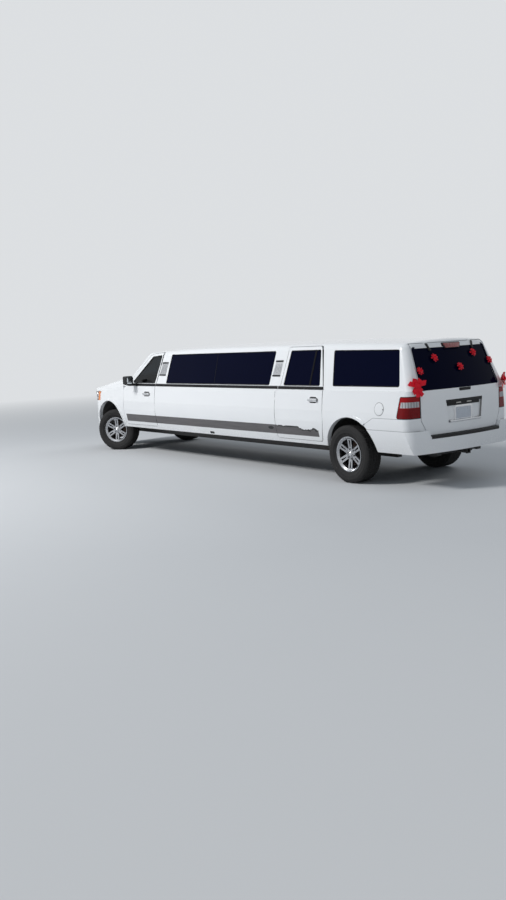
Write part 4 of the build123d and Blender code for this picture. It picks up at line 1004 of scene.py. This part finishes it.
# Hitch: a square steel receiver under the bumper with a welded collar and two chain loops, painted black and
# rusting. A trailer socket with a bright lid is screwed on beside it.
HITCH_Z = 0.437
COLLAR = 0.038
BORE = 0.026
chassis_paint = Finish("chassis_paint", "chassis_paint")
specks = chassis_paint.noise(90.0, 4.0, 0.7)
flaking = chassis_paint.ramp(chassis_paint.noise(16.0, 5.0, 0.7) * 0.7 + specks * 0.3, 0.52, 0.68)
chassis_paint.set(Base_Color=chassis_paint.mix(flaking * 0.75, (0.012, 0.012, 0.013), (0.075, 0.038, 0.022)),
                  Roughness=0.5 + flaking * 0.35, Normal=chassis_paint.bump(specks, 0.3, 0.001))
dress(chassis_paint, "ladder_frame", "front_arms", "fuel_tank")
collar = Mesh()
for y0, y1, low, high in ((-COLLAR, COLLAR, BORE, COLLAR), (-COLLAR, COLLAR, -COLLAR, -BORE),
                          (BORE, COLLAR, -0.030, 0.030), (-COLLAR, -BORE, -0.030, 0.030)):
    collar.block((-4.602, y0, HITCH_Z + low), (-4.578, y1, HITCH_Z + high), 0.003)
for way, side in SIDES:
    collar.tube([(-4.560 - 0.020 * sin(a), side * (0.078 + 0.024 * cos(a)), HITCH_Z - 0.004)
                 for a in even(0, pi, 10)], 0.0055, 8)
    y = side * 0.066
    collar.block((-4.560, y - 0.050, HITCH_Z - 0.014), (-4.500, y + 0.050, HITCH_Z + 0.008), 0.004)
collar.piece("hitch_collar", chassis_paint)
boxes("trailer_socket", black_plastic, [((-4.590, -0.168, 0.452), (-4.520, -0.086, 0.506), 0.008)])
boxes("trailer_socket_cover", bright_trim, [((-4.600, -0.160, 0.476), (-4.588, -0.096, 0.503), 0.004)])

# Rosettes and bows: stiff red plastic ribbon, looped and stapled by hand, on the tail glass and both corners.
# Nineteen loops in three tiers make a rosette. The bows at the corners have long loops and two short tails.
ROSETTES = (
    # place on the tail across and up, size
    (0.394, 1.691, 0.058), (0.703, 1.534, 0.055), (-0.388, 1.721, 0.058), (-0.017, 1.553, 0.058),
    (-0.720, 1.600, 0.055),
)
TIERS = (
    # loops, lean out of the plane, share of the size, first angle
    (8, 0.16, 1.0, 0.0), (7, 0.62, 0.84, 0.4), (4, 1.15, 0.56, 0.2),
)
BOWS = (
    # place of the knot, size, tail ends
    (Vector((-4.462, 0.822, 1.352)), 0.118, ((-4.530, 0.776, 1.226), (-4.512, 0.846, 1.206))),
    (Vector((-4.470, -0.850, 1.330)), 0.114, ((-4.508, -0.866, 1.200), (-4.528, -0.800, 1.222))),
)
BOW_LOOPS = (
    # angle round the knot, lean out of the plane, share of the size
    (0.35, 0.25, 1.0), (2.75, 0.25, 1.0), (1.15, 0.40, 0.86), (2.05, 0.42, 0.90), (0.1, 0.85, 0.66),
    (3.0, 0.85, 0.62), (1.6, 0.95, 0.62), (4.1, 0.35, 0.80), (5.2, 0.35, 0.86), (4.7, 0.9, 0.52),
)
RIBBON_BACK = 0.0004

red_ribbon = Finish("red_ribbon", "lamp_red")
sheen = red_ribbon.noise(90.0, 2.0, 0.5, red_ribbon.stretched(1.0, 1.0, 0.3))
folds = red_ribbon.noise(14.0, 3.0, 0.6)
red_ribbon.set(Base_Color=red_ribbon.mix(folds, (0.88, 0.008, 0.030), (0.62, 0.004, 0.016)),
               Roughness=0.30 + sheen * 0.16, Specular_IOR_Level=0.25)


def ribbon(mesh, path, widths, normal):
    """A strip of ribbon along a path, with a width at each point; a thin back makes it visible both ways."""
    front = []
    for i, here in enumerate(path):
        along = (path[min(i + 1, len(path) - 1)] - path[max(i - 1, 0)]).normalized()
        over = along.cross(normal)
        over = over.normalized() if over.length > 1e-6 else UPWARD.copy()
        face = over.cross(along).normalized() * RIBBON_BACK
        over *= widths[i]
        front.append([here + over + face, here + face * 1.5, here - over + face, here - over - face,
                      here - face * 0.5, here + over - face])
    mesh.rings(front)


def ribbon_loop(mesh, knot, plane, angle, lean, size, wide):
    """One loop that leaves the knot outward, rounds its end and comes back over itself."""
    side, top, away = plane
    flat = side * cos(angle) + top * sin(angle)
    out = (flat * cos(lean) + away * sin(lean)).normalized()
    lift = (away * cos(lean) - flat * sin(lean)).normalized()
    path = []
    widths = []
    for t in even(0, 1, 12):
        bulge = sin(pi * t)
        path.append(knot + out * size * bulge + lift * size * 0.42 * (t - 0.15 * bulge * bulge))
        widths.append(wide * (0.45 + 0.55 * bulge))
    ribbon(mesh, path, widths, lift)


def knot_plane(away):
    """The directions across, up and away from the face that a knot sits on."""
    away = Vector(away).normalized()
    side = away.cross(UPWARD).normalized()
    return side, side.cross(away).normalized(), away


dice = Random(7)
for number, (y, z, size) in enumerate(ROSETTES, 1):
    bloom = Mesh()
    plane = knot_plane((-1.0, 0.0, TAIL_RAKE))
    knot = Vector((tail(y, z), y, z)) + plane[2] * 0.003
    for count, tilt, reach, start in TIERS:
        for k in range(count):
            angle = 2 * pi * k / count + start + dice.uniform(-0.12, 0.12)
            lean = tilt + dice.uniform(-0.10, 0.10)
            ribbon_loop(bloom, knot, plane, angle, lean, size * reach * dice.uniform(0.92, 1.08), size * 0.17)
    bloom.piece("rosette_%d" % number, red_ribbon, "liftgate", smooth=False)
for number, (knot, size, ends) in enumerate(BOWS, 1):
    bow = Mesh()
    plane = knot_plane((-0.86, 0.50 if knot.y > 0 else -0.50, 0.10))
    away = plane[2]
    for angle, lean, share in BOW_LOOPS:
        ribbon_loop(bow, knot + away * 0.006, plane, angle, lean, size * share, size * 0.29)
    for end in ends:
        path = [knot + away * (0.008 + 0.016 * sin(pi * t)) + (Vector(end) - knot) * t
                + Vector((0, 0, 0.010 * sin(7 * t))) for t in even(0, 1, 12)]
        ribbon(bow, path, [size * 0.22] * len(path), away)
    bow.piece("corner_bow_%d" % number, red_ribbon, smooth=False)

# Headlamps: clear moulded lenses over bright bowls in a black housing, with an amber side marker behind each.
# Round fog lamps of the same make sit low in the bumper.
NOSE_X = 4.620
NOSE_RADIUS = 2.2
NOSE_ARC_END = 0.7015
NOSE_CORNER = (4.0786, 0.558, 0.450)
NOSE_PROFILE = (
    # height, set back from the foremost line
    (0.440, -0.060), (0.500, 0.0), (0.700, 0.0), (0.765, -0.034), (1.040, -0.072), (1.085, -0.085),
    (1.130, -0.108), (1.174, -0.138), (1.192, -0.155), (1.264, -0.247),
)
MARKER = (4.046, 4.142)
MARKER_SUNK = -0.003
MARKER_STEPS = 12
MARKER_ROWS = (
    # height, lift over the skin
    (0.990, MARKER_SUNK), (0.992, 0.001), (1.08, 0.002), (1.166, 0.001), (1.168, MARKER_SUNK),
)
HEAD_BOWLS = (
    # out from the middle, height, radius, set back
    (0.640, 1.082, 0.074, 0.012), (0.808, 1.082, 0.060, 0.014),
)
FOG_LAMP = (0.640, 0.618, 0.052)
BOWL = (
    # share of the radius, depth
    (1.06, 0.004), (1.06, 0.009), (1.0, 0.010), (0.96, 0.004), (0.80, -0.012), (0.55, -0.030), (0.30, -0.042),
    (0.22, -0.043), (0.19, -0.030), (0.12, -0.024), (0.0, -0.022),
)
BROW_Z = 1.004


def nose(y, z):
    """How far forward the nose's outer skin stands, at a place across it and a height."""
    y = abs(y)
    if y < NOSE_ARC_END:
        bow = NOSE_X - NOSE_RADIUS + sqrt(NOSE_RADIUS ** 2 - y * y)
    else:
        bow = NOSE_CORNER[0] + sqrt(max(0.0, NOSE_CORNER[2] ** 2 - (y - NOSE_CORNER[1]) ** 2))
    low = max((p for p in NOSE_PROFILE if p[0] <= z), default=NOSE_PROFILE[0])
    high = min((p for p in NOSE_PROFILE if p[0] > z), default=NOSE_PROFILE[-1])
    share = (z - low[0]) / (high[0] - low[0]) if high[0] > low[0] else 0.0
    return min(bow, NOSE_X + low[1] + (high[1] - low[1]) * share)


def on_nose(y, z, proud, side=1):
    """A point so far forward of the nose's skin."""
    return Vector((nose(y, z) + proud, side * y, z))


def facing_forward(centre):
    """Turns a spun profile's axle to the front and puts it at a place."""
    return Matrix.Translation(centre) @ Matrix.Rotation(-pi / 2, 4, "Z")


lamp_lens = mottled("lamp_lens", "lamp_clear", (0.93, 0.95, 0.96), (0.86, 0.88, 0.90), (40.0, 2.0, 0.5),
                    (0.02, 0.02), Transmission_Weight=1.0, IOR=1.03, Coat_Weight=1.0, Coat_IOR=1.5,
                    Coat_Roughness=0.02)
dress(lamp_lens, "headlamps")
amber_lens = Finish("amber_lens", "lamp_red")
prisms = grid_line(amber_lens.z, 0.012, 0.1)
amber_lens.set(Base_Color=amber_lens.mix(prisms * 0.5, (0.72, 0.20, 0.012), (0.36, 0.09, 0.008)),
               Roughness=0.18, Coat_Weight=1.0, Coat_Roughness=0.03, Normal=amber_lens.bump(prisms, 0.3, 0.001))
lamp_bowl = mottled("lamp_bowl", "bright_trim", (0.86, 0.87, 0.88), (0.70, 0.71, 0.73), (60.0, 1.0, 0.4),
                    (0.06, 0.06), (0.25, 0.002), Metallic=1.0)
for way, side in SIDES:
    rows = []
    for z, proud in MARKER_ROWS:
        row = []
        for k, x in enumerate(even(*MARKER, MARKER_STEPS)):
            corner = NOSE_CORNER[1] + sqrt(NOSE_CORNER[2] ** 2 - max(0.0, x - NOSE_CORNER[0]) ** 2)
            lift = proud if 0 < k < MARKER_STEPS else MARKER_SUNK
            row.append(Vector((x, side * (min(skin(x, z), corner) + lift), z)))
        rows.append(row)
    lofted("side_marker_" + way, amber_lens, rows, closed=False)
    rows = [[on_nose(0.520 + 0.435 * t, z, -0.072 - 0.05 * t * t, side) for t in even(0, 1, 20)]
            for z in even(0.994, 1.170, 8)]
    lofted("headlamp_housing_" + way, black_plastic, rows, closed=False)
    bowls = Mesh()
    for y, z, radius, back in HEAD_BOWLS:
        centre = Vector((nose(y + radius * 0.6, z + radius * 0.5) - back, side * y, z))
        bowls.spin([(r * radius, out) for r, out in BOWL], facing_forward(centre), 40)
    bowls.tube([on_nose(y, BROW_Z, -0.016, side) for y in even(0.530, 0.890, 12)], 0.005, 8)
    y, z, radius = FOG_LAMP
    place = facing_forward(on_nose(y, z, -0.010, side))
    bowls.spin([(r * radius * 0.86, out) for r, out in BOWL], place, 32)
    bowls.piece("headlamp_bowls_" + way, lamp_bowl)
    rows = [[on_nose(p.x, p.y, proud, side) for p in ring(Vector((y, z)), radius * grow, 40)]
            for grow, proud in ((0.94, 0.001), (1.02, 0.004), (1.14, 0.004), (1.22, 0.0015), (1.24, -0.003))]
    lofted("fog_lamp_bezel_" + way, black_plastic, rows)

# Grille: plated bars over a black egg-crate mesh, and a second, wider opening of black slats in the bumper.
# Mesh and slats are moulded plastic, clipped in behind the bars and the bumper.
CRATE_HALF = 0.460
CRATE_PITCH = 0.026
CRATE_FOOT = 0.826
CRATE_MIDDLE = 0.985
CRATE_HEAD = 1.143
CRATE_SECTION = ((0.0, -0.0015), (0.0, 0.0015), (0.022, 0.0015), (0.022, -0.0015))
CRATE_WIRES = 12
INTAKE_HALF = 0.430
INTAKE_FOOT = 0.560
INTAKE_HEAD = 0.690
INTAKE_SLATS = 4
grille_black = mottled("grille_mesh", "black_plastic", (0.008, 0.008, 0.009), (0.040, 0.038, 0.035),
                       (50.0, 4.0, 0.7), (0.55, 0.2))
dress(mottled("plated_grille", "bright_trim", (0.74, 0.75, 0.77), (0.58, 0.59, 0.61), (24.0, 4.0, 0.6),
              (0.10, 0.12), (0.05, 0.001), Metallic=1.0), "grille")
crate = Mesh()
for k in range(int(2 * CRATE_HALF / CRATE_PITCH)):
    y = -CRATE_HALF + CRATE_PITCH * (k + 0.5)
    crate.rings([[on_nose(y, z, -0.030 - deep) + Vector((0, wide, 0)) for deep, wide in CRATE_SECTION]
                 for z in (CRATE_FOOT, CRATE_MIDDLE, CRATE_HEAD)])
for k in range(CRATE_WIRES):
    z = CRATE_FOOT + (CRATE_HEAD - CRATE_FOOT) * (k + 0.5) / CRATE_WIRES
    crate.tube([on_nose(y, z, -0.042) for y in even(-CRATE_HALF, CRATE_HALF, 16)], 0.0022, 4)
crate.grid([[Vector((nose(0.5, z) - 0.075, y, z)) for y in even(-0.505, 0.505, 4)]
            for z in even(0.800, 1.170, 4)])
crate.piece("grille_crate", grille_black)
intake = Mesh()
for k in range(INTAKE_SLATS):
    z = INTAKE_FOOT + (INTAKE_HEAD - INTAKE_FOOT) * (k + 0.5) / INTAKE_SLATS
    intake.tube([on_nose(y, z, -0.022) for y in even(-INTAKE_HALF, INTAKE_HALF, 20)], 0.0075, 6, squash=0.55)
for y in even(-0.40, 0.40, 16):
    x = nose(y, 0.62)
    intake.block((x - 0.038, y - 0.002, INTAKE_FOOT), (x - 0.026, y + 0.002, INTAKE_HEAD), 0.0006)
intake.grid([[Vector((nose(INTAKE_HALF, z) - 0.058, y, z)) for y in even(-INTAKE_HALF, INTAKE_HALF, 4)]
             for z in (0.558, 0.692)])
intake.piece("bumper_intake", grille_black)

# Mirrors: grained black plastic shells on short arms, each with a silvered glass in its rear face.
# A moulded boot covers the arm where it meets the door.
MIRROR_BACK = 2.556
MIRROR_FACE = ((1.178, 1.468), (1.052, 1.468), (1.052, 1.346), (1.178, 1.346))
dress(black_plastic, "mirror_left", "mirror_right")
mirror_glass = mottled("mirror_glass", "bright_trim", (0.62, 0.65, 0.67), (0.52, 0.55, 0.57), (9.0, 4.0, 0.6),
                       (0.02, 0.05), Metallic=1.0)
for way, side in SIDES:
    body = "front_door_%s_body" % way
    face = rounded(MIRROR_FACE, 0.022)
    rows = [upright(scaled(face, share), MIRROR_BACK - lift, side) for share, lift in (
        (1.0, -0.001), (1.0, 0.0015), (0.96, 0.0022), (0.0, 0.0022))]
    lofted("mirror_glass_" + way, mirror_glass, rows, body)
    near, far = sorted((side * 0.9, side * 1.010))
    boxes("mirror_boot_" + way, black_plastic, [((2.580, near, 1.296), (2.684, far, 1.343), 0.010)], body)

# Cowl and wipers: a grained black plastic vent panel clipped in at the windscreen's foot,
# and two black steel wipers on pivots through it, parked along the glass.
SCREEN_X = 3.235
SCREEN_RADIUS = 2.6
SCREEN_RAKE = 1.4
COWL_Z = 1.447
VENT_X = (3.035, 3.068)
WIPERS = (
    # name, inner end, outer end, pivot
    ("left", 0.060, 0.700, 0.640), ("right", -0.620, 0.010, -0.040),
)


def screen(y, z, proud):
    """A place on the windscreen, so far out from it."""
    bow = SCREEN_RADIUS - sqrt(SCREEN_RADIUS ** 2 - y * y)
    out = proud / sqrt(1 + SCREEN_RAKE ** 2)
    return Vector((SCREEN_X - bow - (z - BELT) * SCREEN_RAKE + out, y, z + out * SCREEN_RAKE))


rows = []
for y in even(-0.800, 0.800, 32):
    front = screen(y, COWL_Z, 0.0).x
    rows.append([Vector((x, y, COWL_Z + lift)) for x, lift in (
        (front - 0.004, 0.016), (front + 0.010, 0.014), (front + 0.020, 0.005), (3.078, 0.004),
        (3.082, 0.001))])
cowl = Mesh()
cowl.grid(rows)
for y in even(-0.70, 0.65, 27):
    cowl.block((VENT_X[0], y - 0.017, COWL_Z + 0.002), (VENT_X[1], y + 0.017, COWL_Z + 0.0075), 0.002)
cowl.piece("cowl_panel", black_plastic)
for way, inner, outer, pivot in WIPERS:
    wiper = Mesh()
    blade = [screen(inner + (outer - inner) * t, 1.504 - 0.020 * t, 0.010) for t in even(0, 1, 10)]
    wiper.tube(blade, 0.0055, 6)
    wiper.tube([p + Vector((0.004, 0, 0.010)) for p in blade[1:-1]], 0.0045, 6)
    hold = screen((inner + outer) / 2, 1.496, 0.026)
    foot = Vector((screen(pivot, COWL_Z, 0.0).x + 0.040, pivot, COWL_Z + 0.020))
    wiper.tube([foot, foot * 0.7 + hold * 0.3 + Vector((0, 0, 0.014)), hold], 0.0065, 8, squash=0.6)
    wiper.block(foot - Vector((0.014, 0.014, 0.018)), foot + Vector((0.014, 0.014, 0.008)), 0.005)
    wiper.piece("wiper_" + way, black_plastic)

# Underbody: black stone-chip coating with road dirt under a carpeted floor, moulded arch liners, cast axles
# and brakes with rusted faces, and a dull steel exhaust.
pan = Finish("floor_pan")
carpeted = (pan.split(pan.facing)[2] > 0.5) * (pan.z > 0.52)
pile = pan.noise(620.0, 2.0, 0.7)
mud = pan.noise(5.0, 5.0, 0.7)
coating = pan.mix(pan.ramp(mud, 0.45, 0.75) * 0.6, (0.012, 0.012, 0.012), (0.075, 0.068, 0.058))
pan.set(Base_Color=pan.mix(carpeted, coating, pan.mix(pile, (0.020, 0.020, 0.022), (0.060, 0.058, 0.060))),
        Roughness=0.75 + pile * 0.2, Normal=pan.bump(pile, 0.5, 0.002))
dress(pan, "floor")
liner = Finish("arch_liner")
splash = liner.noise(7.0, 5.0, 0.7)
liner.set(Base_Color=liner.mix(liner.ramp(splash, 0.4, 0.75), (0.010, 0.010, 0.010), (0.060, 0.055, 0.048)),
          Roughness=0.7 + splash * 0.2, Normal=liner.bump(splash, 0.3, 0.003))
dress(liner, "front_liners")
cast = Finish("cast_metal")
scale = cast.noise(30.0, 5.0, 0.7)
rust = cast.ramp(cast.noise(6.0, 4.0, 0.6) * 0.5 + scale * 0.5, 0.42, 0.62)
cast.set(Base_Color=cast.mix(rust, (0.075, 0.074, 0.074), (0.130, 0.062, 0.034)), Metallic=0.45,
         Roughness=0.5 + scale * 0.3, Normal=cast.bump(scale, 0.5, 0.002))
dress(cast, "engine", "rear_axle", "knuckle_front_left", "knuckle_front_right")
pipe = Finish("pipe_steel")
scabs = pipe.noise(60.0, 4.0, 0.7)
scorch = pipe.ramp(pipe.noise(3.0, 4.0, 0.6) + scabs * 0.3, 0.5, 0.85)
pipe.set(Base_Color=pipe.mix(scorch, (0.36, 0.34, 0.31), (0.14, 0.075, 0.04)), Metallic=0.85,
         Roughness=0.35 + scabs * 0.3, Normal=pipe.bump(scabs, 0.3, 0.001))
dress(pipe, "exhaust")

# Dashboard, partition and wheel: grained vinyl mouldings in dark grey, screwed to the bulkhead and floor.
# Vents and knobs are black plastic, and the dials sit behind clear covers.
WHEEL_HUB = Vector((2.640, 0.400, 1.130))
WHEEL_AXIS = Vector((-0.90, 0.0, 0.42)).normalized()
DASH_FACE = 2.748
VENT_HALF = 0.055
KNOB = ((0.016, 0.0), (0.016, 0.010), (0.013, 0.014), (0.0, 0.014))
HUB_PAD = ((0.070, 0.006), (0.068, 0.018), (0.050, 0.028), (0.020, 0.032), (0.0, 0.033))
cabin_trim = mottled("cabin_trim", "cabin_trim", (0.035, 0.035, 0.038), (0.060, 0.059, 0.060), (3.0, 3.0, 0.6),
                     (0.55, 0.15))
cabin_trim.set(Normal=cabin_trim.bump(cabin_trim.pebbles(320.0), 0.25, 0.0006))
dress(cabin_trim, "dashboard", "partition")
boxes("instrument_hood", cabin_trim, (((2.752, 0.220, 1.150), (2.800, 0.580, 1.252), 0.016),
                                      ((DASH_FACE, -0.165, 0.905), (2.800, 0.165, 1.205), 0.014)))
vents = Mesh()
for y in (0.740, 0.200, -0.200, -0.740):
    for z in even(1.120, 1.165, 3):
        vents.block((DASH_FACE, y - VENT_HALF, z), (DASH_FACE + 0.016, y + VENT_HALF, z + 0.004), 0.001)
for z in (0.940, 0.985, 1.030):
    for y in (-0.090, 0.0, 0.090):
        place = Matrix.Translation((DASH_FACE, y, z)) @ Matrix.Rotation(pi / 2, 4, "Z")
        vents.spin(KNOB, place, 20)
vents.piece("dash_vents_and_knobs", black_plastic)
dial_finish = mottled("dial_faces", "dark_glass", (0.012, 0.014, 0.016), (0.050, 0.060, 0.065),
                      (200.0, 1.0, 0.4), (0.1, 0.05), Coat_Weight=0.6)
boxes("dash_glass", dial_finish, (((2.744, 0.250, 1.168), (2.754, 0.550, 1.236), 0.004),
                                  ((2.742, -0.120, 1.080), (2.750, 0.120, 1.185), 0.004)))
hub = Mesh()
turned = WHEEL_AXIS.to_track_quat("Y", "Z").to_matrix().to_4x4()
hub.spin(HUB_PAD, Matrix.Translation(WHEEL_HUB) @ turned, 32)
hub.piece("steering_pad", cabin_trim)

# Seats: foam cushions in black leather with sewn channels and piped edges, on hard plinths: two front seats,
# a long bench down the right side and a rear bench. Their crowned shapes are set in code, without cloth.
SEAT_LEAN = 0.14 / 0.67
SAMPLE_STEP = 0.05
SEAM_STEPS = (-0.022, -0.012, -0.006, -0.002, 0.0, 0.002, 0.006, 0.012, 0.022)
SEAM_DEPTH = 0.011
SEAM_WIDTH = 0.006
SQUARENESS = 7
FRONT_PAIR = (-0.13, 0.13)
BENCH_ROW = (-0.36, -0.18, 0.0, 0.18, 0.36)
SEATS = (
    # name, pad low, pad high, seams along, seams across, back low, back high, lean, back seams
    ("front_left", (2.055, 0.160, 0.700), (2.575, 0.670, 0.852), (-0.13, 0.02), FRONT_PAIR,
     (2.060, 0.165, 0.775), (2.195, 0.665, 1.390), SEAT_LEAN, ((), FRONT_PAIR)),
    ("front_right", (2.055, -0.670, 0.700), (2.575, -0.160, 0.852), (-0.13, 0.02), FRONT_PAIR,
     (2.060, -0.665, 0.775), (2.195, -0.165, 1.390), SEAT_LEAN, ((), FRONT_PAIR)),
    ("rear_bench", (-4.055, -0.535, 0.700), (-3.535, 0.535, 0.852), (-0.08,), BENCH_ROW,
     (-4.045, -0.535, 0.775), (-3.915, 0.535, 1.390), SEAT_LEAN, ((), BENCH_ROW)),
    ("side_bench", (-2.745, -0.875, 0.700), (1.195, -0.425, 0.880), even(-1.78, 1.775, 9), (0.02,),
     (-2.745, -0.878, 0.840), (1.195, -0.765, 1.268), 0.0, (even(-1.78, 1.775, 9), ())),
)
HEAD_RESTS = (
    # name, place along, place across
    ("front_left", 1.985, 0.415), ("front_right", 1.985, -0.415), ("rear_left", -4.120, 0.270),
    ("rear_right", -4.120, -0.270),
)


def spaced(half, seams):
    """Sample places along an edge, closer together at each seam."""
    count = max(4, round(2 * half / SAMPLE_STEP))
    places = {round(place, 5) for place in even(-half, half, count)}
    for seam in seams:
        places.update(round(seam + d, 5) for d in SEAM_STEPS if abs(seam + d) < half)
    return [p / half for p in sorted(places)]


def cushion(name, low, high, seams_x, seams_y, crown, lean=0.0):
    """A stuffed pad in a box: rounded and crowned, with sewn channels across it on every side."""
    mesh = Mesh()
    centre = (Vector(low) + Vector(high)) / 2
    half = (Vector(high) - Vector(low)) / 2
    lines = (seams_x, seams_y, ())
    for fixed in range(3):
        a, b = [k for k in range(3) if k != fixed]
        us = spaced(half[a], lines[a])
        vs = spaced(half[b], lines[b])
        for end in (-1.0, 1.0):
            rows = []
            for u in us:
                row = []
                for v in vs:
                    p = [0.0, 0.0, 0.0]
                    p[fixed], p[a], p[b] = end, u, v
                    scale = sum(abs(c) ** SQUARENESS for c in p) ** (-1 / SQUARENESS)
                    sunk = sum(SEAM_DEPTH * 2.718 ** (-((p[axis] * half[axis] - seam) / SEAM_WIDTH) ** 2)
                               for axis, seams in enumerate(lines) for seam in seams)
                    here = []
                    for k in range(3):
                        full = 1.0
                        for other in range(3):
                            if other != k:
                                full *= 1 - p[other] ** 2
                        here.append(p[k] * scale * max(0.01, half[k] - crown + crown * full - sunk))
                    here[0] -= lean * (here[2] + half[2])
                    row.append(centre + Vector(here))
                rows.append(row)
            mesh.grid(rows)
    return mesh.piece(name, seat_leather)


seat_leather = mottled("seat_leather", "seat_leather", (0.011, 0.011, 0.012), (0.034, 0.032, 0.032),
                       (6.0, 5.0, 0.65), (0.36, 0.2), Coat_Weight=0.12)
creases = seat_leather.pebbles(260.0) + seat_leather.noise(6.0, 5.0, 0.65) * 0.6
seat_leather.set(Normal=seat_leather.bump(creases, 0.25, 0.0008))
seat_base = mottled("seat_base", "cabin_trim", (0.018, 0.018, 0.019), (0.034, 0.034, 0.035), (300.0, 2.0, 0.6),
                    (0.6, 0.2), (0.2, 0.0005))
for name, low, high, along, across, back_low, back_high, lean, back_seams in SEATS:
    plinth = (
        ((low[0] + 0.020, low[1] + 0.020, 0.546), (high[0] - 0.030, high[1] - 0.020, low[2] + 0.015), 0.014),
        ((low[0] + 0.005, low[1] + 0.006, 0.668), (high[0] - 0.012, high[1] - 0.006, low[2] + 0.006), 0.010),
    )
    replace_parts(boxes("seat_plinth_" + name, seat_base, plinth), "seats")
    for label, *form in (("seat_pad_", low, high, along, across, 0.024),
                         ("seat_back_", back_low, back_high, *back_seams, 0.020, lean)):
        soft = cushion(label + name, *form)
        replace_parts(soft, "seats")
    piping = Mesh()
    x0, x1, y0, y1 = low[0] + 0.012, high[0] - 0.012, low[1] + 0.012, high[1] - 0.012
    welt = rounded(((x0, y0), (x1, y0), (x1, y1), (x0, y1)), 0.05)
    piping.tube([Vector((p.x, p.y, high[2] - 0.030)) for p in welt], 0.0035, 6, closed=True)
    piping.piece("seat_piping_" + name, seal_rubber, "body", "seat_leather")
for name, x, y in HEAD_RESTS:
    low = (x - 0.045, y - 0.130, 1.415)
    high = (x + 0.045, y + 0.130, 1.585)
    cushion("head_rest_" + name, low, high, (), (), 0.014)
    posts = Mesh()
    for dy in (-0.055, 0.055):
        posts.tube([(x + 0.010, y + dy, 1.330), (x, y + dy, 1.440)], 0.006, 8)
    posts.piece("head_rest_posts_" + name, bright_trim)

# Door cards: an armrest and a map pocket moulded in vinyl on the inside of each door,
# and a plated release handle above them, all clipped to the door's inner skin.
ARMREST_Z = 0.985
CARD_WALL = skin(0.0, ARMREST_Z) - 0.062
CARDS = (
    # name, rear end, front end
    ("front", 2.080, 2.820), ("rear", -2.640, -1.880),
)
for name, rear, front in CARDS:
    for way, side in SIDES:
        body = "%s_door_%s_body" % (name, way)
        arm = sorted((side * (CARD_WALL + 0.004), side * (CARD_WALL - 0.062)))
        pocket = sorted((side * (CARD_WALL + 0.004), side * (CARD_WALL - 0.030)))
        boxes("door_card_%s_%s" % (name, way), cabin_trim, (
            ((rear, arm[0], ARMREST_Z - 0.030), (front, arm[1], ARMREST_Z + 0.026), 0.016),
            ((rear + 0.05, pocket[0], 0.640), (front - 0.05, pocket[1], 0.790), 0.012)), body)
        x = rear + (front - rear) * 0.72
        y = side * (CARD_WALL - 0.012)
        inner = y - side * 0.022
        pull = Mesh()
        pull.tube([(x - 0.055, y, 1.100), (x - 0.045, inner, 1.104), (x + 0.045, inner, 1.112),
                   (x + 0.055, y, 1.110)], 0.008, 8)
        pull.piece("door_release_%s_%s" % (name, way), bright_trim, body)
